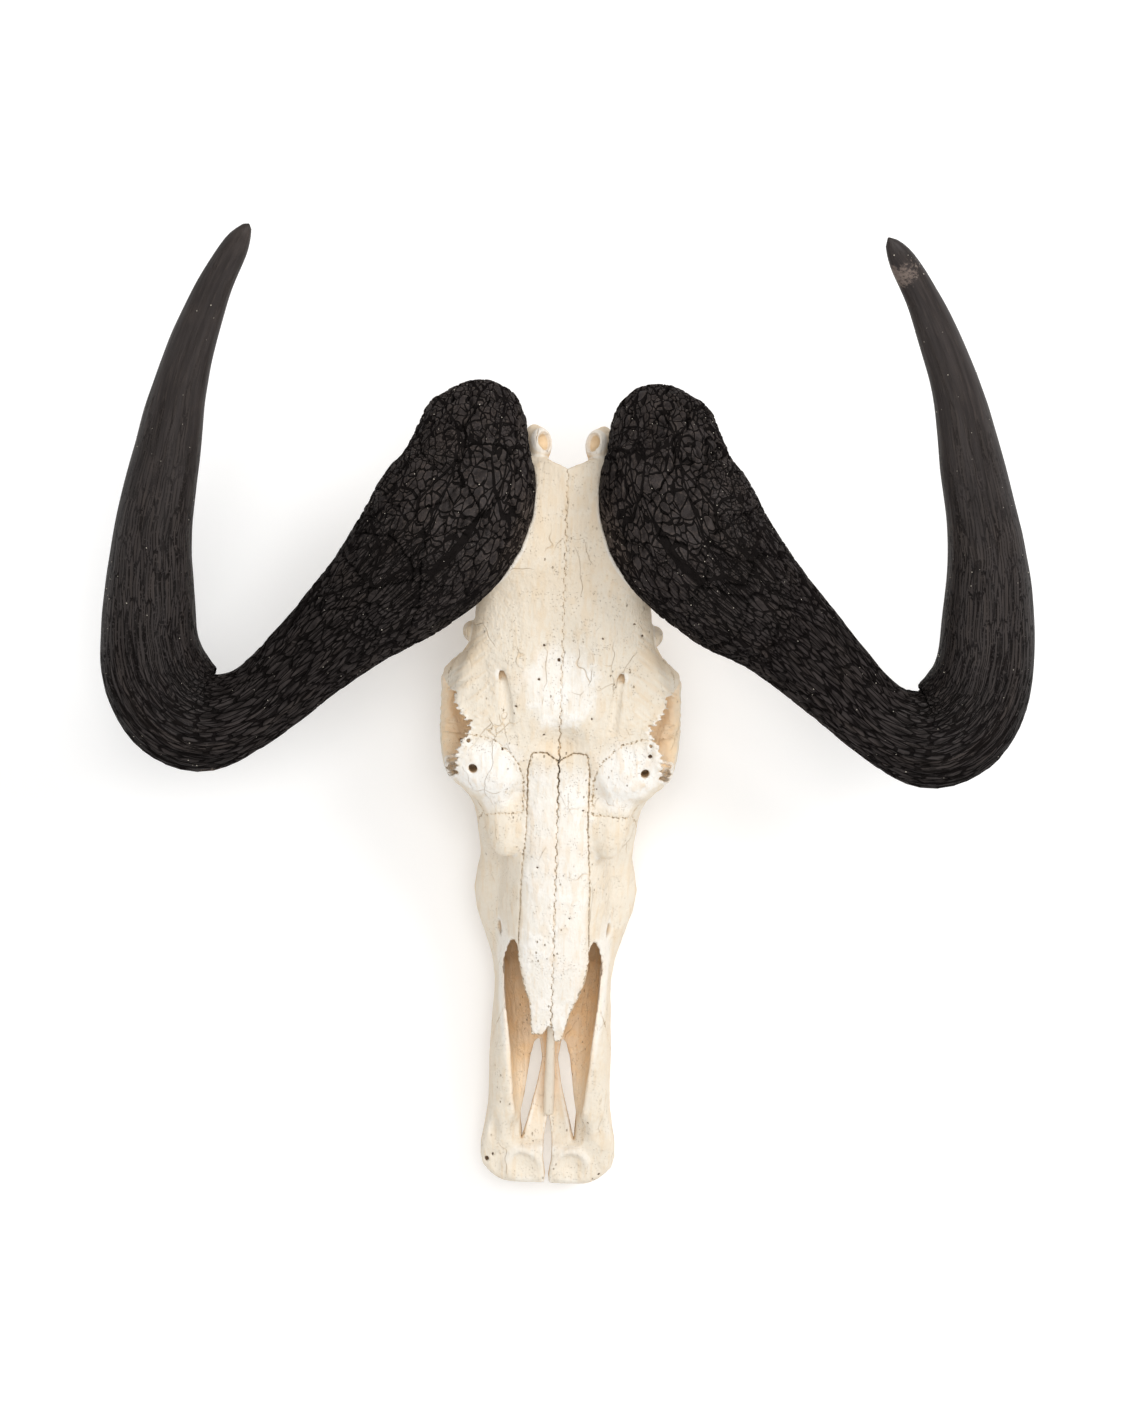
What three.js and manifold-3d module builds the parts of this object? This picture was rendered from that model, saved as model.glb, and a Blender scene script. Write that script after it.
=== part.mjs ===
// The skull of a black wildebeest bull with its horns on, life size, lying on its cheek teeth and on
// the two prongs at the back of its base. Sizes are millimetres. +Z is up, the muzzle points along -Y,
// and +X is the animal's left. The joints between its bones are narrow gaps.
import * as THREE from "three";
import { mergeVertices } from "three/addons/utils/BufferGeometryUtils.js";
import Module from "manifold-3d";

const wasm = await Module();
wasm.setup();

// The gap between touching pieces, and how far the cutting blocks reach out.
const GAP = 0.3;
const REACH = 340;

// Places along the face and thicknesses of its bones. The table that the skull rests on is z = 0.
const NASAL_TIP_Y = -200;
const NOTCH_Y = -148;
const NASION_Y = -34;
const NASAL_THICK = 4.5;
const FRONTAL_THICK = 15;
const BLADE_THICK = 4;

// The eye socket: its rim is an oval ring that leans outwards at the bottom.
const ORBIT = { x: 60, y: -13, z: 104, high: 24, long: 27, rim: 5, lean: -0.17, deep: 40 };

// Cheek teeth, front to back: length along the jaw, width across it, distance of the row from the middle.
const TEETH = [
  { long: 9, wide: 9, out: 31.5 },
  { long: 12, wide: 12, out: 32.5 },
  { long: 13, wide: 14, out: 33.5 },
  { long: 18, wide: 16, out: 35 },
  { long: 20, wide: 17, out: 36.5 },
  { long: 21, wide: 16, out: 37.5 },
];
const TEETH_FRONT_Y = -126;
const TOOTH_ROOT_Z = 27;
const TOOTH_SPACE = 0.8;
const TOOTH_PIT = 4;

// Horn: centre x, y, z, half width seen from above, half thickness, from the boss to the tip.
const HORN_STATIONS = [
  [54, 178, 152, 8, 7],
  [53, 166, 158, 26, 20],
  [55, 144, 165, 33.5, 31],
  [59, 119, 169, 42, 37],
  [72, 92, 168, 44, 40],
  [96, 66, 160, 38, 37],
  [122, 44, 149, 30, 31],
  [150, 19, 138, 25, 26],
  [180, -7, 129, 23, 23],
  [206, -17, 125, 29, 23],
  [225, -9, 126, 32, 24],
  [236, 8, 131, 31, 24],
  [240, 28, 140, 28, 24],
  [239, 52, 153, 26, 23],
  [234, 90, 179, 21.5, 20],
  [222, 133, 211, 18, 16.5],
  [209, 174, 243, 13.6, 13],
  [190, 213, 275, 9.7, 9.6],
  [176, 234, 293, 7.2, 7.2],
  [169, 243, 301, 3.5, 3.5],
];
// How far each tip strays inwards of the mean of the two.
const TIP_LEAN = { left: 6, right: -7 };
// The two horns aren't quite alike: how far each arm lies outwards and backwards of the even pair.
const ARM_DRIFT = { left: { out: 3, back: 2 }, right: { out: -3, back: -1 } };

const bone = () => new THREE.MeshStandardMaterial({ color: 0xe8dcc3, roughness: 0.72, metalness: 0 });
const keratin = () => new THREE.MeshStandardMaterial({ color: 0x211d1b, roughness: 0.58, metalness: 0 });
const innerBone = () => new THREE.MeshStandardMaterial({ color: 0xd9bd92, roughness: 0.8, metalness: 0 });

// Sizes given at a few stations, eased to an even run of steps.
function eased(stations, steps) {
  const curves = stations[0].map((_, column) => {
    const points = stations.map((row) => new THREE.Vector3(row[column], 0, 0));
    return new THREE.CatmullRomCurve3(points, false, "catmullrom", 0.5);
  });
  return Array.from({ length: steps + 1 }, (_, k) => curves.map((c) => c.getPoint(k / steps).x));
}

const signedPower = (value, power) => Math.sign(value) * Math.abs(value) ** power;

// The points of one ring: place(c, s) turns a rounded square's cosine and sine into a point.
function ring(count, square, place) {
  return Array.from({ length: count }, (_, i) => {
    const angle = ((i + 0.5) / count) * 2 * Math.PI;
    return place(signedPower(Math.cos(angle), square), signedPower(Math.sin(angle), square));
  });
}

// A closed body skinned over rings, with a fan at each end.
function skin(rings) {
  const n = rings[0].length;
  const middle = (points) => points.reduce((sum, p) => sum.add(p), new THREE.Vector3()).divideScalar(n);
  const points = [...rings.flat(), middle(rings[0]), middle(rings.at(-1))];
  const first = rings.length * n;
  const last = first + 1;
  const faces = [];
  for (let i = 0; i < n; i++) {
    const j = (i + 1) % n;
    faces.push([first, j, i]);
    faces.push([last, (rings.length - 1) * n + i, (rings.length - 1) * n + j]);
    for (let r = 0; r + 1 < rings.length; r++) {
      faces.push([r * n + i, r * n + j, (r + 1) * n + j]);
      faces.push([r * n + i, (r + 1) * n + j, (r + 1) * n + i]);
    }
  }
  return new THREE.BufferGeometry().setFromPoints(points).setIndex(faces.flat());
}

// A closed geometry as a solid to join and cut. Its faces are turned outwards first.
function solid(geometry) {
  const bare = new THREE.BufferGeometry().setAttribute("position", geometry.getAttribute("position"));
  if (geometry.index) bare.setIndex(geometry.index);
  const merged = mergeVertices(bare, 1e-3);
  const position = merged.getAttribute("position");
  const triVerts = new Uint32Array(merged.index.array);
  const [a, b, c] = [new THREE.Vector3(), new THREE.Vector3(), new THREE.Vector3()];
  let volume = 0;
  for (let i = 0; i < triVerts.length; i += 3) {
    a.fromBufferAttribute(position, triVerts[i]);
    b.fromBufferAttribute(position, triVerts[i + 1]);
    c.fromBufferAttribute(position, triVerts[i + 2]);
    volume += a.dot(b.cross(c));
  }
  if (volume < 0)
    for (let i = 0; i < triVerts.length; i += 3) triVerts.subarray(i, i + 2).reverse();
  return new wasm.Manifold(new wasm.Mesh({ numProp: 3, vertProperties: position.array, triVerts }));
}

// A body along the skull. A station holds y, half width, top, bottom and how much the top narrows.
function alongSkull(stations, { steps = 12, count = 24, square = 0.7, x = 0 } = {}) {
  return solid(
    skin(
      eased(stations, steps).map(([y, half, top, bottom, taper]) =>
        ring(count, square, (c, s) => {
          const z = (top + bottom) / 2 + ((top - bottom) / 2) * s;
          return new THREE.Vector3(x + half * c * (1 - taper * s), y, z);
        }),
      ),
    ),
  );
}

// A bent body with an oval section. A station holds the centre x, y, z, half width and half thickness.
function bent(stations, { steps = 12, count = 16, square = 1, up = new THREE.Vector3(0, 0, 1) } = {}) {
  const rows = eased(stations, steps);
  const centres = rows.map(([x, y, z]) => new THREE.Vector3(x, y, z));
  return solid(
    skin(
      rows.map(([, , , half, thick], k) => {
        const ahead = centres[Math.min(k + 1, steps)].clone().sub(centres[Math.max(k - 1, 0)]);
        const across = ahead.cross(up).normalize();
        const along = centres[Math.min(k + 1, steps)].clone().sub(centres[Math.max(k - 1, 0)]);
        const raised = across.clone().cross(along).normalize();
        return ring(count, square, (c, s) =>
          centres[k].clone().addScaledVector(across, half * c).addScaledVector(raised, thick * s),
        );
      }),
    ),
  );
}

// An egg-shaped lump.
function lump([x, y, z], [rx, ry, rz], count = 12) {
  const ball = new THREE.SphereGeometry(1, count, Math.max(6, count / 2));
  return solid(ball.scale(rx, ry, rz).translate(x, y, z));
}

const union = (...solids) => solids.reduce((sum, next) => sum.add(next));
const cut = (body, ...tools) => tools.reduce((rest, tool) => rest.subtract(tool), body);

// An outline of [x, y] corners moved outwards by grow.
function outset(corners, grow) {
  const shape = corners.map(([x, y]) => new THREE.Vector2(x, y));
  const turn = THREE.ShapeUtils.area(shape) > 0 ? 1 : -1;
  return shape.map((p, i) => {
    const before = p.clone().sub(shape.at(i - 1)).normalize();
    const after = shape[(i + 1) % shape.length].clone().sub(p).normalize();
    const normal = new THREE.Vector2(before.y + after.y, -before.x - after.x).normalize();
    const lengthen = 1 / Math.max(0.4, normal.dot(new THREE.Vector2(after.y, -after.x)));
    return p.clone().addScaledVector(normal, turn * grow * lengthen);
  });
}

// A block with an outline seen from above, from one height to another.
function planBlock(corners, low, high, grow = 0) {
  const shape = new THREE.Shape(outset(corners, grow));
  const block = new THREE.ExtrudeGeometry(shape, { depth: high - low + 2 * grow, bevelEnabled: false });
  return solid(block.translate(0, 0, low - grow));
}

// A block with an outline of [y, z] corners seen from the side, right through from one x to another.
function sideBlock(corners, grow = 0, from = -REACH, to = REACH) {
  const shape = new THREE.Shape(outset(corners, grow));
  const block = new THREE.ExtrudeGeometry(shape, { depth: to - from, bevelEnabled: false });
  const turned = new THREE.Matrix4().makeBasis(
    new THREE.Vector3(0, 1, 0),
    new THREE.Vector3(0, 0, 1),
    new THREE.Vector3(1, 0, 0),
  );
  return solid(block.applyMatrix4(turned).translate(from, 0, 0));
}

// Parts a body in two: what lies in the region, and the rest less a gap around the region.
function take(body, region) {
  return [body.intersect(region(0)), body.subtract(region(GAP))];
}

// The left or the right half of a bone, for side 1 or -1.
function half(body, side) {
  const [inner, outer] = [(side * GAP) / 2, side * REACH];
  const room = planBlock([[inner, -REACH], [outer, -REACH], [outer, REACH], [inner, REACH]], -10, REACH);
  return body.intersect(room);
}

const larger = (first, second) => (second.volume() > first.volume() ? second : first);
const largest = (body) => body.decompose().reduce(larger);

// Face from the muzzle to the eyes: y, half width, top, bottom, narrowing of the top.
const FACE_STATIONS = [
  [-292, 27, 33, 21, 0],
  [-283, 39, 36, 20, 0.02],
  [-268, 40, 41, 19, 0.04],
  [-245, 36, 50, 18, 0.1],
  [-215, 35.5, 63, 18, 0.12],
  [-180, 34, 76, 18, 0.16],
  [-150, 33.5, 88, 17, 0.22],
  [-120, 35.5, 96, 16, 0.27],
  [-85, 35, 106, 16, 0.27],
  [-50, 36, 115, 17, 0.22],
  [-30, 35, 121, 20, 0.15],
  [-20, 31, 125, 40, 0.05],
  [15, 30, 136, 50, 0],
];

// Forehead and crown: a broad roof that is widest behind the eyes.
const ROOF_STATIONS = [
  [-50, 30, 112, 92, 0],
  [-36, 50, 120, 98, 0],
  [-14, 60, 129, 112, 0],
  [12, 60, 137, 116, 0],
  [32, 53, 145, 112, 0],
  [60, 50, 153, 108, 0],
  [100, 46, 161, 100, 0],
  [128, 36, 161, 104, 0],
  [141, 27, 156, 120, 0],
];

const CASE_STATIONS = [
  [-5, 30, 120, 42, 0],
  [25, 36, 128, 40, 0],
  [60, 44, 140, 42, 0],
  [95, 47, 142, 44, 0],
  [118, 44, 138, 46, 0],
  [130, 34, 128, 56, 0],
];

function hornSolid(lean, drift, grow = 0) {
  const most = HORN_STATIONS.at(-1)[1];
  const stations = HORN_STATIONS.map(([x, y, z, half, thick], k) => {
    const past = k < HORN_STATIONS.length / 2 ? 0 : Math.max(0, y / most);
    const out = Math.min(Math.max((k - 4) / 3, 0), 1);
    return [x - lean * past ** 2 + drift.out * out, y + drift.back * out, z, half + grow, thick + grow];
  });
  return bent(stations, { steps: 34, count: 16, square: 0.9 });
}

// One side's cheek teeth: each a two-lobed column with a pit in each lobe of its chewing face.
function toothRow() {
  let y = TEETH_FRONT_Y;
  const crowns = TEETH.map(({ long, wide, out }) => {
    const lobe = (long - TOOTH_SPACE) / 4;
    const [inner, outer] = [out - wide / 2, out + wide / 2];
    const shape = new THREE.Shape();
    shape.moveTo(inner, y);
    shape.lineTo(outer - 2, y);
    shape.quadraticCurveTo(outer + 2, y + lobe, outer - 1.5, y + 2 * lobe);
    shape.quadraticCurveTo(outer + 2, y + 3 * lobe, outer - 2, y + 4 * lobe);
    shape.lineTo(inner, y + 4 * lobe);
    const settings = { depth: TOOTH_ROOT_Z, bevelEnabled: false, curveSegments: 2 };
    const column = new THREE.ExtrudeGeometry(shape, settings);
    const pits = [1, 3].map((k) => {
      const pit = new THREE.ConeGeometry(1, 2 * TOOTH_PIT, 4).rotateX(Math.PI / 2);
      return solid(pit.scale(wide * 0.3, lobe * 0.8, 1).translate(out, y + k * lobe, 0));
    });
    y += long;
    return cut(solid(column), ...pits);
  });
  return union(...crowns);
}

// The walls of the eye socket, which flare forwards and down into the face.
const orbitWalls = () =>
  bent(
    [
      [26, -22, 93, 46, 28],
      [42, -17, 98, 38, 28],
      [53, -14, 101.5, 33, 27],
      [62, ORBIT.y, 103, 28, 25],
    ],
    { steps: 3, count: 20 },
  );

const orbitRim = () => {
  const { x, y, z, high, long, rim, lean } = ORBIT;
  const hoop = new THREE.TorusGeometry(1, 0.2, 6, 18).rotateY(Math.PI / 2);
  return solid(hoop.scale(rim / 0.2, long, high).rotateY(lean).translate(x + 2, y, z - 1));
};

// The hollow of the eye socket and the open space behind it, under the forehead.
function orbitHollow() {
  const { x, y, z, high, long, lean, deep } = ORBIT;
  const ball = new THREE.SphereGeometry(1, 18, 10);
  const socket = solid(ball.scale(deep, long - 4, high - 6).rotateY(lean).translate(x + 6, y, z - 2));
  const passage = lump([66, 32, 98], [28, 40, 14], 10);
  return socket.add(passage);
}

// The cheek bone with its arch back to the ear, and the bar behind the eye.
function cheek() {
  const arch = bent(
    [
      [35, -70, 66, 8, 13],
      [42, -57, 71, 9, 15],
      [56, -38, 77, 9, 13],
      [63.5, -22, 79, 6, 10],
      [65.5, -8, 80, 4.5, 9],
      [65.5, 8, 83, 4.5, 8.5],
      [58, 22, 86, 4, 7],
      [50, 36, 88, 4.5, 6.5],
      [46, 54, 89, 5, 6.5],
      [40, 72, 89, 9, 8],
    ],
    { steps: 12, count: 8 },
  );
  const bar = bent(
    [
      [42, 16, 124, 9, 17],
      [56, 14, 120, 7.5, 13],
      [63, 13, 110, 5, 8.5],
      [65.5, 12, 96, 4.5, 7],
      [65.5, 12, 83, 5, 8],
    ],
    { steps: 6, count: 8, up: new THREE.Vector3(0, 1, 0) },
  );
  return arch.add(bar);
}

// The swelling that runs down the side of the upper jaw and ends in the tuber of the face.
const faceRidge = () =>
  bent(
    [
      [24, -156, 40, 9, 8],
      [32, -132, 44, 12, 12],
      [35.5, -113, 48, 13, 13],
      [33, -94, 53, 12, 14],
      [35, -74, 62, 12, 15],
      [38, -56, 70, 10, 16],
    ],
    { steps: 7, count: 10 },
  );

// One side of the back of the skull: the knuckle for the neck, the blade beside it, the ear's bulb and pipe.
function backOfSkull() {
  const condyle = lump([17, 123, 57], [11, 14, 17], 10);
  const root = lump([37, 103, 76], [15, 15, 20], 8);
  const blade = bent(
    [
      [39, 106, 74, 12, 10],
      [40, 107, 52, 10.5, 7],
      [38, 106, 30, 8, 5.5],
      [36, 104, 12, 6, 4.5],
      [35, 103, -5, 4.5, 4],
    ],
    { steps: 5, count: 8, up: new THREE.Vector3(0, 1, 0) },
  );
  const bulb = lump([25, 80, 43], [10, 15, 14], 8);
  const earPipe = bent(
    [
      [24, 84, 58, 8, 8],
      [52, 88, 68, 5.5, 5.5],
    ],
    { steps: 1, count: 8 },
  );
  return union(condyle, root, blade, bulb, earPipe);
}

// The bony stump that runs from the forehead out into the horn.
const pedicle = () =>
  bent(
    [
      [8, 98, 134, 38, 24],
      [34, 99, 145, 36, 25],
      [58, 95, 152, 27, 20],
    ],
    { steps: 3, count: 14 },
  );

// The pitted knob at the back of the crown, beside the root of the horn.
const crownKnob = () => lump([16.5, 146, 147], [7, 10, 10], 8);

// The small knob on the edge of the forehead behind the eye.
const templeKnob = () => lump([52.5, 39, 126], [6.5, 7, 8], 8);

// The ragged strip beside the brow through which the inside of the eye socket shows from above.
const browNotch = () =>
  planBlock(
    [
      [66, 5],
      [61.5, 3],
      [61, -4],
      [56, -11],
      [51, -16],
      [55, -22],
      [58, -27],
      [60, -35],
      [59.5, -43],
      [63, -45],
      [66, -30],
      [67, -10],
    ],
    96,
    REACH,
  );

const pterygoid = () =>
  bent(
    [
      [15, -14, 34, 3, 10],
      [15, 10, 36, 2.5, 14],
      [17, 34, 44, 2.5, 12],
    ],
    { steps: 4, count: 8 },
  );

const basicranium = () =>
  alongSkull(
    [
      [10, 10, 60, 42, 0],
      [50, 12, 60, 38, 0],
      [85, 18, 62, 36, 0],
      [118, 20, 64, 40, 0],
    ],
    { steps: 6, count: 12 },
  );

function mirrored(body) {
  const mesh = body.getMesh();
  const geometry = new THREE.BufferGeometry();
  geometry.setAttribute("position", new THREE.BufferAttribute(mesh.vertProperties, 3));
  geometry.setIndex(new THREE.BufferAttribute(mesh.triVerts, 1));
  return solid(geometry.scale(-1, 1, 1));
}
const both = (body) => body.add(mirrored(body));

function wholeSkull() {
  const nape = alongSkull(
    [
      [98, 52, 120, 60, 0.1],
      [116, 52, 128, 56, 0.15],
      [127, 42, 136, 62, 0.1],
      [133, 28, 138, 74, 0],
    ],
    { steps: 4, count: 14, square: 0.9 },
  );
  const core = union(
    alongSkull(FACE_STATIONS, { steps: 17, count: 18, square: 0.6 }),
    alongSkull(ROOF_STATIONS, { steps: 12, count: 18, square: 0.6 }),
    alongSkull(CASE_STATIONS, { steps: 5, count: 14, square: 0.85 }),
    nape,
    basicranium(),
    both(union(orbitWalls(), faceRidge(), backOfSkull(), pedicle(), pterygoid(), templeKnob())),
  );
  const crownEdge = [[0, 132], [20, 141.5], [40, 142], [40, 170], [-40, 170], [-40, 142], [-20, 141.5]];
  const crownNotch = planBlock(crownEdge, 90, REACH);
  const foramen = new THREE.CylinderGeometry(12, 12, 40, 12).scale(1, 1, 1.15).translate(0, 128, 66);
  const hollowed = cut(core, both(orbitHollow()), crownNotch, solid(foramen));
  return cut(hollowed.add(both(union(cheek(), orbitRim(), crownKnob()))), both(browNotch()));
}

// The room inside the nose.
function noseCavity(grow = 0) {
  const stations = [
    [-270, 11, 60, 30, 0],
    [-250, 19.5, 66, 27, 0],
    [-230, 22, 76, 26, 0],
    [-206, 24.5, 86, 26, 0],
    [-180, 27.5, 92, 26, 0],
    [-160, 28.6, 94, 26, 0],
    [-150, 29, 83, 26, 0.1],
    [-120, 28, 89, 26, 0.15],
    [-92, 22, 92, 30, 0.15],
    [-78, 12, 80, 44, 0],
  ];
  const grown = stations.map(([y, half, top, bottom, taper]) => {
    return [y, half + grow, top + grow, bottom - grow, taper];
  });
  return alongSkull(grown, { steps: 9, count: 14, square: 0.7 });
}

// All that lies above the side walls in front of the nasal notch.
const openTop = () =>
  sideBlock([
    [NOTCH_Y, 120],
    [NOTCH_Y, 90],
    [NOTCH_Y - 14, 76],
    [-200, 64],
    [-240, 50],
    [-262, 40],
    [-276, 33],
    [-310, 31],
    [-310, 120],
  ]);

// The pointed rear end of the nose's opening, beside the nose bone.
const noseArch = () =>
  planBlock([[23, -142], [25.5, -143], [28, -150], [28.9, -162], [16, -162], [20, -150]], 60, REACH);

// The two slits in the palate, and the notch between the tips of the muzzle.
function palateSlits() {
  const slit = [[7, -206], [5.2, -218], [11.4, -250], [15.8, -266], [17, -251], [12, -218], [9.5, -208]];
  const notch = [[0, -252], [2.4, -266], [2.4, -280], [0.5, -291], [0.5, -310]];
  const mirroredNotch = notch.slice(1).map(([x, y]) => [-x, y]);
  return both(planBlock(slit, 0, 45)).add(planBlock([...notch, ...mirroredNotch.reverse()], 0, 60));
}

// The thin upright blade in the middle of the nose.
const septum = () =>
  sideBlock(
    [
      [-104, 20],
      [-104, 78],
      [-150, 74],
      [-180, 64],
      [-205, 50],
      [-232, 36],
      [-250, 30],
      [-252, 20],
    ],
    0,
    -BLADE_THICK / 2,
    BLADE_THICK / 2,
  );

// Regions that part the single bones. Each grows by the gap where it is cut from its neighbours.
const nasalRegion = (grow) => {
  const outline = [
    [-18, NASION_Y - 6],
    [-16, NASION_Y + 3],
    [-8, NASION_Y + 4],
    [0, NASION_Y - 1],
    [8, NASION_Y + 4],
    [16, NASION_Y + 3],
    [18, NASION_Y - 6],
    [18, -75],
    [20.5, -110],
    [26, -134],
    [22.5, NOTCH_Y],
    [18, -168],
    [11.5, -184],
    [6, NASAL_TIP_Y - 3],
    [2, NASAL_TIP_Y - 3],
    [0, NASAL_TIP_Y + 8],
    [-5, NASAL_TIP_Y + 1],
    [-11.5, NASAL_TIP_Y + 1],
    [-13, -180],
    [-17, -168],
    [-21.5, NOTCH_Y],
    [-26, -134],
    [-20.5, -110],
    [-18, -75],
  ];
  const roof = sideBlock(
    [
      [-20, 190],
      [-20, 123 - NASAL_THICK],
      [-60, 109 - NASAL_THICK],
      [-120, 95 - NASAL_THICK],
      [-150, 87 - NASAL_THICK],
      [-180, 75.5 - NASAL_THICK],
      [-215, 63 - NASAL_THICK],
      [-215, 190],
    ],
    grow,
  );
  return planBlock(outline, 40, 190, grow).intersect(roof);
};

const premaxillaRegion = (grow) =>
  sideBlock([[-310, -20], [-224, -20], [-214, 30], [-188, 60], [-140, 96], [-140, 130], [-310, 130]], grow);

const lacrimalRegion = (grow) => {
  const side = [
    [20.5, -66],
    [20.5, -46],
    [23, -38],
    [29, -31],
    [36, -25],
    [48, -21],
    [REACH, -21],
    [REACH, -68],
    [48, -68],
  ];
  return both(planBlock(side, 84, 190, grow));
};

const zygomaticRegion = (grow) => {
  const side = [
    [-80, 50],
    [-66, 84],
    [-12, 86],
    [2, 104],
    [34, 104],
    [34, 50],
  ];
  return both(sideBlock(side, grow, 38 - grow, REACH));
};

const frontalRegion = (grow) =>
  sideBlock(
    [
      [-58, 109 - FRONTAL_THICK],
      [-10, 124 - FRONTAL_THICK],
      [30, 140 - FRONTAL_THICK],
      [70, 128 - FRONTAL_THICK],
      [158, 140 - FRONTAL_THICK],
      [158, 240],
      [-58, 240],
    ],
    grow,
  );

const maxillaRegion = (grow) =>
  sideBlock([[-240, -20], [-24, -20], [-24, 60], [-60, 130], [-240, 130]], grow);

const occipitalRegion = (grow) =>
  sideBlock([[92, -20], [92, 58], [112, 90], [112, 200], [220, 200], [220, -20]], grow);

const nodes = new THREE.Group();

function addNode(name, body, material) {
  const mesh = largest(body).getMesh();
  const geometry = new THREE.BufferGeometry();
  geometry.setAttribute("position", new THREE.BufferAttribute(mesh.vertProperties, 3));
  geometry.setIndex(new THREE.BufferAttribute(mesh.triVerts, 1));
  geometry.computeVertexNormals();
  const node = new THREE.Mesh(geometry, material);
  node.name = name;
  nodes.add(node);
}

function addPair(name, body) {
  addNode(name + "_left", half(body, 1), bone());
  addNode(name + "_right", half(body, -1), bone());
}

const hornLeft = hornSolid(TIP_LEAN.left, ARM_DRIFT.left);
const hornRight = mirrored(hornSolid(TIP_LEAN.right, ARM_DRIFT.right));
const hornRoom = both(hornSolid(0, { out: 0, back: 0 }, GAP));

const whole = cut(wholeSkull(), hornRoom, hornLeft, hornRight);
const [nasals, belowNasals] = take(whole, nasalRegion);
const faced = cut(belowNasals, noseCavity(), openTop(), both(noseArch()), palateSlits());
const [premaxillae, behindPremaxillae] = take(faced, premaxillaRegion);
const [lacrimals, behindLacrimals] = take(behindPremaxillae, lacrimalRegion);
const [zygomatics, behindZygomatics] = take(behindLacrimals, zygomaticRegion);
const [frontals, belowFrontals] = take(behindZygomatics, frontalRegion);
const [maxillae, behindMaxillae] = take(belowFrontals, maxillaRegion);
const [occipital, braincase] = take(behindMaxillae, occipitalRegion);
const table = planBlock([[-REACH, -REACH], [REACH, -REACH], [REACH, REACH], [-REACH, REACH]], -60, 0);

addNode("horn_left", hornLeft, keratin());
addNode("horn_right", hornRight, keratin());
addPair("nasal", nasals);
addPair("premaxilla", premaxillae);
addPair("lacrimal", lacrimals);
addPair("zygomatic", zygomatics);
addPair("frontal", frontals);
addPair("maxilla", maxillae.add(both(toothRow())));
addNode("vomer", septum().intersect(noseCavity(-GAP)), innerBone());
addNode("braincase", braincase, bone());
addNode("occipital", cut(occipital, table), bone());

// The origin is under the middle of the box round everything, on the table.
const bounds = new THREE.Box3().setFromObject(nodes);
nodes.position.set(-(bounds.min.x + bounds.max.x) / 2, -(bounds.min.y + bounds.max.y) / 2, -bounds.min.z);

const part = new THREE.Group();
part.add(nodes);
export default part;
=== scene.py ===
"""The skull of a black wildebeest bull with its horns on, lying on its cheek teeth.

The bones are modelled like clay, as distances on a fine grid: lumps are added and hollows are cut, and each
bone is then parted from the rest along its sutures and meshed by itself. The horns are skinned over rings
along their own curve and then cracked and streaked. Lengths in this file are millimetres in the skull's own
frame, with +X the animal's left, the muzzle towards -Y and the table at z = 0, unless a name says metres.
"""

from functools import lru_cache
from math import radians

import bpy
import numpy as np
import openvdb
from bpy.props import FloatProperty, FloatVectorProperty, IntProperty, PointerProperty
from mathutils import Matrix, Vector


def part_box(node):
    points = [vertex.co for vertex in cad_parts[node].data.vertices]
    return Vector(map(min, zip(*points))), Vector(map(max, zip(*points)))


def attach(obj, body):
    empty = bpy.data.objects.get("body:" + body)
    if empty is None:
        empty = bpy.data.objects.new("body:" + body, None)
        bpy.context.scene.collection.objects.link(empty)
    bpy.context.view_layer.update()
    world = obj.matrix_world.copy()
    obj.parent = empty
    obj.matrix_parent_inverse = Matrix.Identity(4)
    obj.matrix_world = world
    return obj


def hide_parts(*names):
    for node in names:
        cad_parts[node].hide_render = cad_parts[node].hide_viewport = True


bl_info = {
    "name": "Wildebeest Skull",
    "version": (1, 0, 0),
    "blender": (4, 5, 0),
    "location": "View3D > Sidebar > Skull",
    "description": "Models a black wildebeest skull with horns, bone by bone",
    "category": "Add Mesh",
}

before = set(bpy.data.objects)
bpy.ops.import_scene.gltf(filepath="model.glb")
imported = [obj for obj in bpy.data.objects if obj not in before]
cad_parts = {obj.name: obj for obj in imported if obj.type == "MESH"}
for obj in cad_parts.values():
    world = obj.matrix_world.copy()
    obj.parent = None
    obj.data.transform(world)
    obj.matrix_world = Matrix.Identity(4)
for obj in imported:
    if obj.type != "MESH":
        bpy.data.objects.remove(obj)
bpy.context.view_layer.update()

MM = 0.001
MUZZLE_Y = -292
MIDDLE_X = sum(corner.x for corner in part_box("vomer")) / 2
ORIGIN = Vector((MIDDLE_X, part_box("premaxilla_left")[0].y - MUZZLE_Y * MM, 0))
FAR = 60.0
TINY = 1e-6

# Face bones: places along the muzzle, and the thickness of the blade in the nose.
NASAL_TIP_Y = -200
NOTCH_Y = -148
NASION_Y = -34
BLADE_THICK = 2.4

ORBIT = {"x": 60, "y": -13, "z": 104, "high": 24, "long": 27, "rim": 5, "lean": -0.17, "deep": 40}

# Cheek teeth, front to back: length along the jaw, width across it, distance of the row from the middle.
TEETH = [(9, 9, 31.5), (12, 12, 32.5), (13, 14, 33.5), (18, 16, 35), (20, 17, 36.5), (21, 16, 37.5)]
TEETH_FRONT_Y = -126
TOOTH_TOP_Z = 24

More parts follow.
